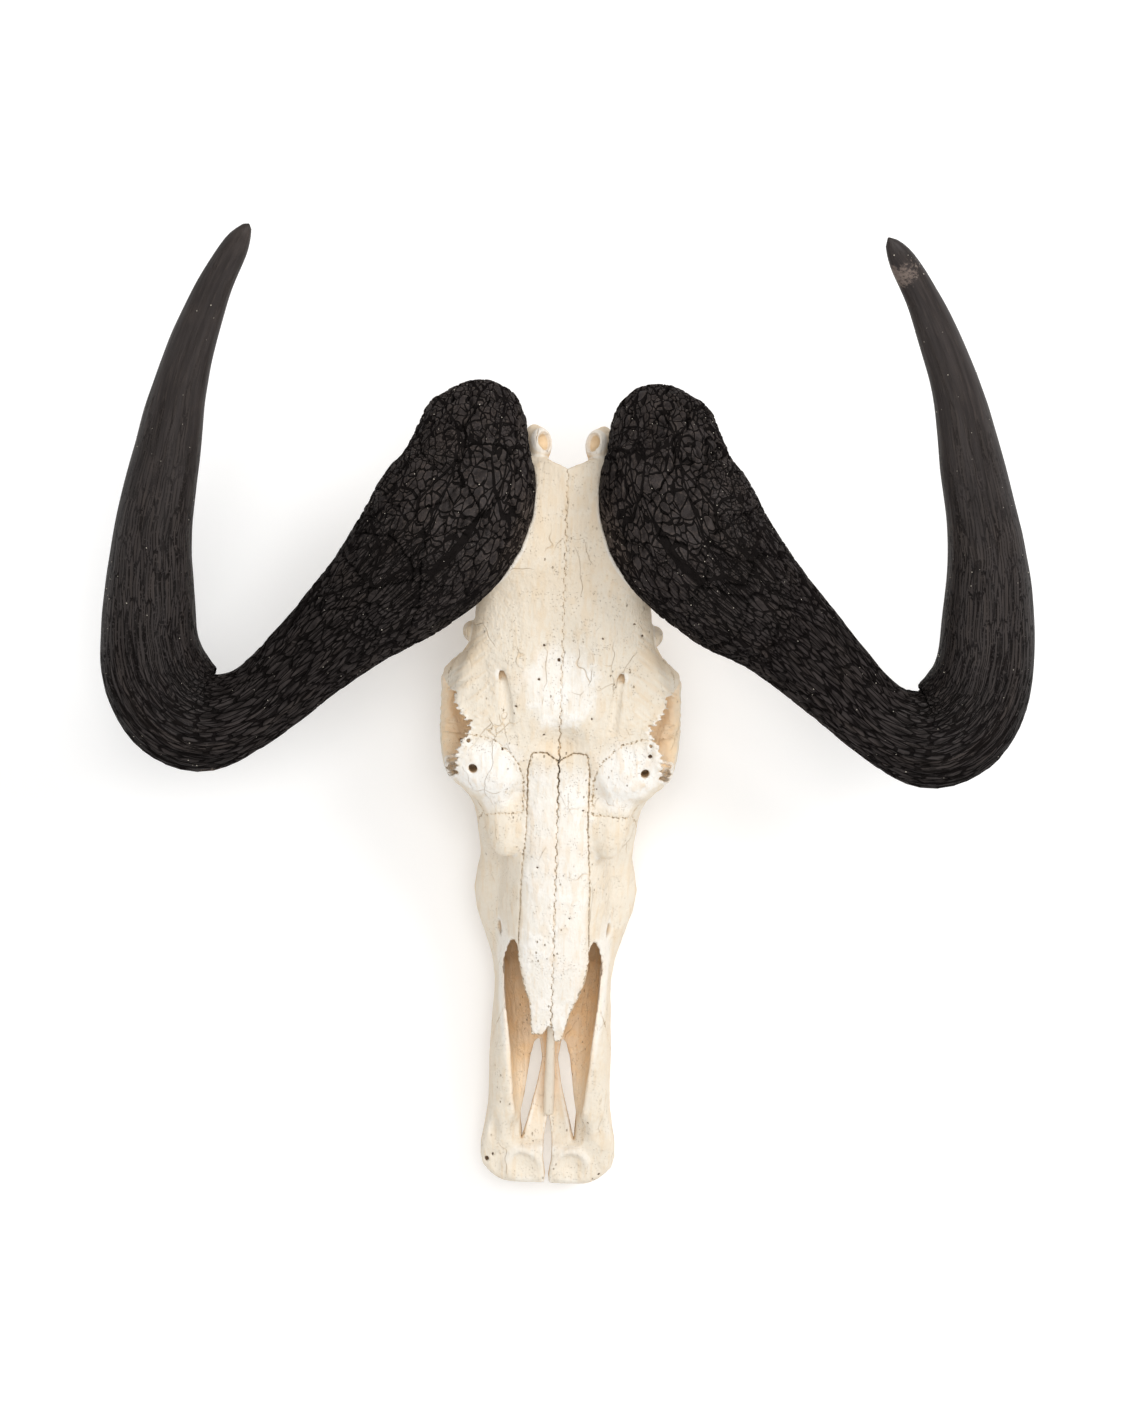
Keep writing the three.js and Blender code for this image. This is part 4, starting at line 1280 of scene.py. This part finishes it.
def horn_finish(settings):
    """Near-black horn: brown at the bone, grey where it is worn, with painted shade in its cracks and painted
    highlights on the edges of its blocks, satin at its tips.
    """
    made = Finish("horn")
    place = made.place
    straight = made.mark("straight", "Vector")
    crack, tone, rim = made.mark("crack"), made.mark("tone"), made.mark("rim")
    along = made.node("SeparateXYZ", {}, {0: straight})
    streak = made.noise(made.stretched(straight, (0.02, 1, 1)), 0.0009, 2, 0.6)
    broad_streak = made.noise(made.stretched(straight, (0.04, 1, 1)), 0.006, 3, 0.6)
    cloud = made.noise(place, 0.035, 2, 0.6)
    crumbly = made.noise(place, 0.0018, 3, 0.7)
    far_out = along.over(0.2, 0.34)
    on_boss = along.over(0.15, 0.09)
    block_place = made.wander(made.stretched(straight, (0.75, 1, 1)), 0.009, 0.008)
    block_edge = made.cells(block_place, 0.0044, "DISTANCE_TO_EDGE")
    chip_edge = made.cells(made.wander(place, 0.004, 0.003), 0.0021, "DISTANCE_TO_EDGE")
    chips = chip_edge.over(0.1, 0.03) * crumbly.over(0.42, 0.52) * cloud.over(0.46, 0.56)
    chips = (block_edge.over(0.1, 0.03) + chips * 0.6) * on_boss
    cleft_place = made.wander(made.stretched(straight, (0.4, 1, 1)), 0.014, 0.006)
    cleft = made.cells(cleft_place, 0.019, "DISTANCE_TO_EDGE").over(0.03, 0.012) * along.over(0.23, 0.15)
    brick_place = made.wander(made.stretched(straight, (0.16, 1, 1)), 0.008, 0.005)
    bricks = made.cells(brick_place, 0.0022, "DISTANCE_TO_EDGE").over(0.13, 0.03)
    bricks = bricks * along.over(0.08, 0.13) * along.over(0.38, 0.27)
    line_place = made.stretched(made.wander(straight, 0.02, 0.003), (0.02, 1, 1))
    lines = made.cells(line_place, 0.0017, "DISTANCE_TO_EDGE").over(0.15, 0.02) * crumbly.over(0.38, 0.5)
    line_strength = along.over(0.56, 0.36) * 0.6 + broad_streak.over(0.5, 0.6) * 0.2
    lines = lines * along.over(0.22, 0.32) * line_strength
    split = (chips + bricks + cleft + lines).over(0.0, 1.0)
    # Painted highlight along the edges of the blocks of the boss.
    ridge = block_edge.over(0.36, 0.13) * (1 - split) * on_boss * crumbly.over(0.45, 0.6)

    dark, worn_and_lit = tuple(settings.horn_color), tuple(settings.worn_and_lit_horn_color)
    color = made.mix(dark, tinted(dark, 1.9), tone.over(0.1, 0.95) * 0.7)
    color = made.mix(color, worn_and_lit, streak.over(0.5, 0.75) * far_out * 0.3)
    color = made.mix(color, tinted(worn_and_lit, 0.7), broad_streak.over(0.45, 0.75) * 0.4)
    color = made.mix(color, worn_and_lit, crumbly.over(0.56, 0.78) * (1 - far_out) * 0.35)
    color = made.mix(color, tinted(worn_and_lit, 1.2), cloud.over(0.55, 0.8) * 0.25)
    # Painted highlight on the block edges.
    color = made.mix(color, tinted(worn_and_lit, 1.2), ridge * 0.4)
    color = made.mix(color, tinted(worn_and_lit, 1.5), (rim + (crumbly - 0.5) * 0.8).over(0.3, 1.1) * 0.8)
    for (x, y, z), radius, strength in WORN_PLACES:
        middle = Vector((x, y, z)) * MM + ORIGIN
        away = made.node("VectorMath", {"operation": "DISTANCE"}, {0: place, 1: middle}, 1)
        patch = (away.over(radius * MM, 0.0) + (crumbly - 0.5) * 1.4).over(0.35, 0.7)
        color = made.mix(color, tinted(worn_and_lit, 3), patch * strength)
    # Painted shade in the splits and cracks.
    color = made.mix(color, tinted(dark, 0.2), split * 0.85)
    color = made.mix(color, tinted(dark, 0.15), crack * 0.9)
    roughness = 0.6 - far_out * 0.2 + (crumbly - 0.5) * 0.3 + crack * 0.2
    satin = (1 - split) * (1 - crack) * (0.12 + far_out * 0.25 + tone * 0.12)
    height = streak * 0.4 * far_out + broad_streak * 0.4 + crumbly * (1 - far_out) * 0.6 - split * 1.3
    normal = made.bump(height, 0.0022, 1.0)
    gloss = {"coat_weight": satin, "coat_roughness": 0.42, "coat_ior": 1.35}
    return made.close(color, roughness, normal, specular_ior_level=0.0, **gloss)


def grit_finish(settings):
    """Specks of pale dust that cling to the horns."""
    made = Finish("grit")
    speckle = made.noise(made.place, 0.002, 2)
    dull, clean = tinted(settings.bone_color, 0.4), tinted(settings.bone_color, 0.75)
    color = made.mix(dull, clean, speckle.over(0.4, 0.6))
    return made.close(color, 0.9, made.bump(speckle, 0.0002))


def table_finish(settings):
    """A plain pale table."""
    made = Finish("table")
    mottle = made.noise(made.place, 0.6, 3)
    color = made.mix(tuple(settings.table_color), tinted(settings.table_color, 0.985), mottle.over(0.4, 0.6))
    normal = made.bump(made.noise(made.place, 0.002, 2), 0.0001, 0.2)
    return made.close(color, 0.85, normal, emission_color=(1, 1, 1, 1), emission_strength=settings.table_glow)


FINISHES = {
    "bone": bone_finish,
    "inner_bone": inner_bone_finish,
    "horn": horn_finish,
    "grit": grit_finish,
    "table": table_finish,
}


def finish(name, settings):
    """The named material, made the first time that it is asked for."""
    return bpy.data.materials.get("carved_" + name) or FINISHES[name](settings)


# The smallest speck, as a share of the largest.
SMALLEST_SPECK = 0.35


def grit_tree(settings):
    """Geometry nodes that strew specks over a surface and leave only the specks."""
    tree = bpy.data.node_groups.new("Grit", "GeometryNodeTree")
    kinds = {
        "Surface": "NodeSocketGeometry",
        "Specks per Area": "NodeSocketFloat",
        "Speck Size": "NodeSocketFloat",
        "Seed": "NodeSocketInt",
    }
    for name, kind in kinds.items():
        tree.interface.new_socket(name, in_out="INPUT", socket_type=kind)
    tree.interface.new_socket("Specks", in_out="OUTPUT", socket_type="NodeSocketGeometry")

    def add(kind, **chosen):
        made = tree.nodes.new(kind)
        for key, value in chosen.items():
            setattr(made, key, value)
        return made

    given, result = add("NodeGroupInput"), add("NodeGroupOutput")
    strewn = add("GeometryNodeDistributePointsOnFaces", distribute_method="RANDOM")
    speck = add("GeometryNodeMeshIcoSphere")
    scale = add("FunctionNodeRandomValue", data_type="FLOAT")
    placed = add("GeometryNodeInstanceOnPoints")
    real = add("GeometryNodeRealizeInstances")
    painted = add("GeometryNodeSetMaterial")
    painted.inputs["Material"].default_value = finish("grit", settings)
    speck.inputs["Subdivisions"].default_value = 1
    scale.inputs[2].default_value, scale.inputs[3].default_value = SMALLEST_SPECK, 1.0
    links = [
        (given.outputs["Surface"], strewn.inputs["Mesh"]),
        (given.outputs["Specks per Area"], strewn.inputs["Density"]),
        (given.outputs["Seed"], strewn.inputs["Seed"]),
        (given.outputs["Speck Size"], speck.inputs["Radius"]),
        (strewn.outputs["Points"], placed.inputs["Points"]),
        (strewn.outputs["Rotation"], placed.inputs["Rotation"]),
        (speck.outputs["Mesh"], placed.inputs["Instance"]),
        (scale.outputs[1], placed.inputs["Scale"]),
        (placed.outputs["Instances"], real.inputs["Geometry"]),
        (real.outputs["Geometry"], painted.inputs["Geometry"]),
        (painted.outputs["Geometry"], result.inputs["Specks"]),
    ]
    for start, stop in links:
        tree.links.new(start, stop)
    return tree


def make_grit(side, settings):
    """Pale specks strewn over one horn."""
    name = side_name("grit", side)
    holder = bpy.data.objects.new(name, bpy.data.objects[side_name("horn", side) + "_carved"].data)
    bpy.context.scene.collection.objects.link(holder)
    tree = bpy.data.node_groups.get("Grit") or grit_tree(settings)
    modifier = holder.modifiers.new("Grit", "NODES")
    modifier.node_group = tree
    values = {"Specks per Area": settings.grit_per_area, "Speck Size": settings.grit_size, "Seed": 5 + side}
    for socket in tree.interface.items_tree:
        if socket.name in values:
            modifier[socket.identifier] = values[socket.name]
    evaluated = holder.evaluated_get(bpy.context.evaluated_depsgraph_get())
    holder.data = bpy.data.meshes.new_from_object(evaluated)
    holder.modifiers.clear()
    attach(holder, "root")
    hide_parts(side_name("horn", side))


# The stage, in metres: half the width of the table and the point that the lamps face. The film in mm.
TABLE_REACH = 3.0
LAMP_TARGET = (0, 0, 0.08)
FILM_HEIGHT = 36


def make_stage(settings):
    """The table, the lights and the camera straight above the skull."""
    reach = TABLE_REACH
    mesh = bpy.data.meshes.new("table")
    corners = [(-reach, -reach, 0), (reach, -reach, 0), (reach, reach, 0), (-reach, reach, 0)]
    mesh.from_pydata(corners, [], [(0, 1, 2, 3)])
    mesh.materials.append(finish("table", settings))
    table = bpy.data.objects.new("table", mesh)
    bpy.context.scene.collection.objects.link(table)

    world = bpy.data.worlds.new("studio")
    world.use_nodes = True
    background = world.node_tree.nodes["Background"]
    background.inputs["Color"].default_value = (1, 0.995, 0.985, 1)
    background.inputs["Strength"].default_value = settings.sky_strength
    bpy.context.scene.world = world
    lamps = [
        ("key", (1.15, 0.75, 1.5), 0.9, settings.key_power),
        ("top", (0.1, 0.15, 2.5), 1.2, settings.key_power * 1.4),
        ("front", (0.2, -1.5, 1.3), 1.2, settings.key_power * 0.2),
    ]
    for name, place, size, power in lamps:
        light = bpy.data.lights.new(name, "AREA")
        light.shape, light.size, light.energy = "SQUARE", size, power
        lamp = bpy.data.objects.new(name, light)
        lamp.location = place
        lamp.rotation_euler = (Vector(LAMP_TARGET) - Vector(place)).to_track_quat("-Z", "Y").to_euler()
        bpy.context.scene.collection.objects.link(lamp)

    camera = bpy.data.objects.new("camera", bpy.data.cameras.new("camera"))
    camera.data.sensor_fit = "VERTICAL"
    camera.data.sensor_height = FILM_HEIGHT
    camera.data.lens = FILM_HEIGHT * FOCAL_PIXELS / IMAGE_SIZE[1]
    camera.location = ORIGIN + Vector((0, 0, CAMERA_HEIGHT * MM))
    camera.rotation_euler = (0, 0, ROLL)
    bpy.context.scene.collection.objects.link(camera)
    bpy.context.scene.camera = camera
    bpy.context.scene.view_settings.view_transform = "Standard"


class SkullSettings(bpy.types.PropertyGroup):
    """Sizes and colours of the skull and its stage."""

    grid_step: FloatProperty(
        name="Bone detail",
        description="Size of the smallest form on a bone",
        default=0.00093,
        min=0.0005,
        unit="LENGTH",
    )
    bone_relief: FloatProperty(
        name="Bone relief",
        description="Height of the bones' small swellings",
        default=0.0006,
        unit="LENGTH",
    )
    horn_row_step: FloatProperty(
        name="Horn detail",
        description="Distance between rings of the boss",
        default=0.00075,
        min=0.0005,
        unit="LENGTH",
    )
    horn_points_around: IntProperty(
        name="Points around horn",
        description="Points in each ring",
        default=256,
        min=24,
    )
    crack_depth: FloatProperty(
        name="Crack depth",
        description="Depth of the cracks in the boss",
        default=0.0016,
        unit="LENGTH",
    )
    grit_per_area: FloatProperty(
        name="Grit",
        description="Specks on each square metre of horn",
        default=3000,
    )
    grit_size: FloatProperty(
        name="Grit size",
        description="Radius of the largest speck",
        default=0.0004,
        unit="LENGTH",
    )
    bone_color: FloatVectorProperty(
        name="Bone",
        description="Bleached bone",
        subtype="COLOR",
        size=4,
        default=(0.79, 0.715, 0.6, 1),
    )
    # Whitened bone, also the colour of the painted highlights on the heights and thin edges.
    bleached_color: FloatVectorProperty(
        name="Whitened bone",
        description="Bone in full sun",
        subtype="COLOR",
        size=4,
        default=(0.9, 0.875, 0.83, 1),
    )
    # Real stain, and also the colour of the painted shade in the hollows.
    stain_and_shade_color: FloatVectorProperty(
        name="Stain",
        description="Stain in the hollows",
        subtype="COLOR",
        size=4,
        default=(0.72, 0.52, 0.3, 1),
    )
    suture_color: FloatVectorProperty(
        name="Suture",
        description="Dirt in the sutures",
        subtype="COLOR",
        size=4,
        default=(0.13, 0.065, 0.024, 1),
    )
    horn_color: FloatVectorProperty(
        name="Horn",
        description="Fresh horn",
        subtype="COLOR",
        size=4,
        default=(0.027, 0.0225, 0.0215, 1),
    )
    # Worn horn, also the colour of the painted highlights on the block edges.
    worn_and_lit_horn_color: FloatVectorProperty(
        name="Worn horn",
        description="Weathered horn",
        subtype="COLOR",
        size=4,
        default=(0.085, 0.066, 0.056, 1),
    )
    table_color: FloatVectorProperty(
        name="Table",
        description="Table top",
        subtype="COLOR",
        size=4,
        default=(0.96, 0.96, 0.96, 1),
    )
    table_glow: FloatProperty(name="Glow", description="Light of the table itself", default=0.13)
    key_power: FloatProperty(
        name="Key light",
        description="Power of the main light",
        default=15,
        unit="POWER",
    )
    sky_strength: FloatProperty(
        name="Sky",
        description="Strength of the light from all round",
        default=0.6,
    )


class SKULL_OT_stage(bpy.types.Operator):
    """Set up the table, the lights and the camera"""

    bl_idname = "skull.stage"
    bl_label = "Stage"

    def execute(self, context):
        make_stage(context.scene.skull)
        return {"FINISHED"}


class SKULL_OT_horns(bpy.types.Operator):
    """Make the two horns with their cracked bosses"""

    bl_idname = "skull.horns"
    bl_label = "Horns"

    def execute(self, context):
        make_horn(1, context.scene.skull)
        make_horn(-1, context.scene.skull)
        return {"FINISHED"}


class SKULL_OT_grit(bpy.types.Operator):
    """Strew pale specks over the horns"""

    bl_idname = "skull.grit"
    bl_label = "Grit"

    def execute(self, context):
        make_grit(1, context.scene.skull)
        make_grit(-1, context.scene.skull)
        return {"FINISHED"}


class SKULL_OT_muzzle(bpy.types.Operator):
    """Make the nasal bones, the tips of the muzzle and the upper jaws with their teeth"""

    bl_idname = "skull.muzzle"
    bl_label = "Muzzle"

    def execute(self, context):
        for name in ("nasal", "premaxilla", "maxilla"):
            make_bone(name, 1, context.scene.skull)
            make_bone(name, -1, context.scene.skull)
        return {"FINISHED"}


class SKULL_OT_septum(bpy.types.Operator):
    """Make the blade inside the nose"""

    bl_idname = "skull.septum"
    bl_label = "Septum"

    def execute(self, context):
        make_septum(context.scene.skull)
        return {"FINISHED"}


class SKULL_OT_cheeks(bpy.types.Operator):
    """Make the cheek bones and the tear bones round the eye sockets"""

    bl_idname = "skull.cheeks"
    bl_label = "Cheeks"

    def execute(self, context):
        for name in ("lacrimal", "zygomatic"):
            make_bone(name, 1, context.scene.skull)
            make_bone(name, -1, context.scene.skull)
        return {"FINISHED"}


class SKULL_OT_forehead(bpy.types.Operator):
    """Make the two bones of the forehead and crown"""

    bl_idname = "skull.forehead"
    bl_label = "Forehead"

    def execute(self, context):
        make_bone("frontal", 1, context.scene.skull)
        make_bone("frontal", -1, context.scene.skull)
        return {"FINISHED"}


class SKULL_OT_braincase(bpy.types.Operator):
    """Make the braincase and the bone at the back of the head"""

    bl_idname = "skull.braincase"
    bl_label = "Braincase"

    def execute(self, context):
        make_bone("braincase", 0, context.scene.skull)
        make_bone("occipital", 0, context.scene.skull)
        return {"FINISHED"}


OPERATORS = (
    SKULL_OT_stage,
    SKULL_OT_horns,
    SKULL_OT_grit,
    SKULL_OT_muzzle,
    SKULL_OT_septum,
    SKULL_OT_cheeks,
    SKULL_OT_forehead,
    SKULL_OT_braincase,
)


class SKULL_PT_panel(bpy.types.Panel):
    """Settings of the skull and a button for each group of pieces"""

    bl_label = "Wildebeest Skull"
    bl_space_type = "VIEW_3D"
    bl_region_type = "UI"
    bl_category = "Skull"

    def draw(self, context):
        for name in SkullSettings.__annotations__:
            self.layout.prop(context.scene.skull, name)
        for operator in OPERATORS:
            self.layout.operator(operator.bl_idname)


def register():
    for new in (SkullSettings, *OPERATORS, SKULL_PT_panel):
        bpy.utils.register_class(new)
    bpy.types.Scene.skull = PointerProperty(type=SkullSettings)


def unregister():
    del bpy.types.Scene.skull
    for old in (SKULL_PT_panel, *reversed(OPERATORS), SkullSettings):
        bpy.utils.unregister_class(old)


def main():
    register()
    bpy.ops.skull.stage()
    bpy.ops.skull.horns()
    bpy.ops.skull.grit()
    bpy.ops.skull.muzzle()
    bpy.ops.skull.septum()
    bpy.ops.skull.cheeks()
    bpy.ops.skull.forehead()
    bpy.ops.skull.braincase()


if __name__ == "__main__":
    main()
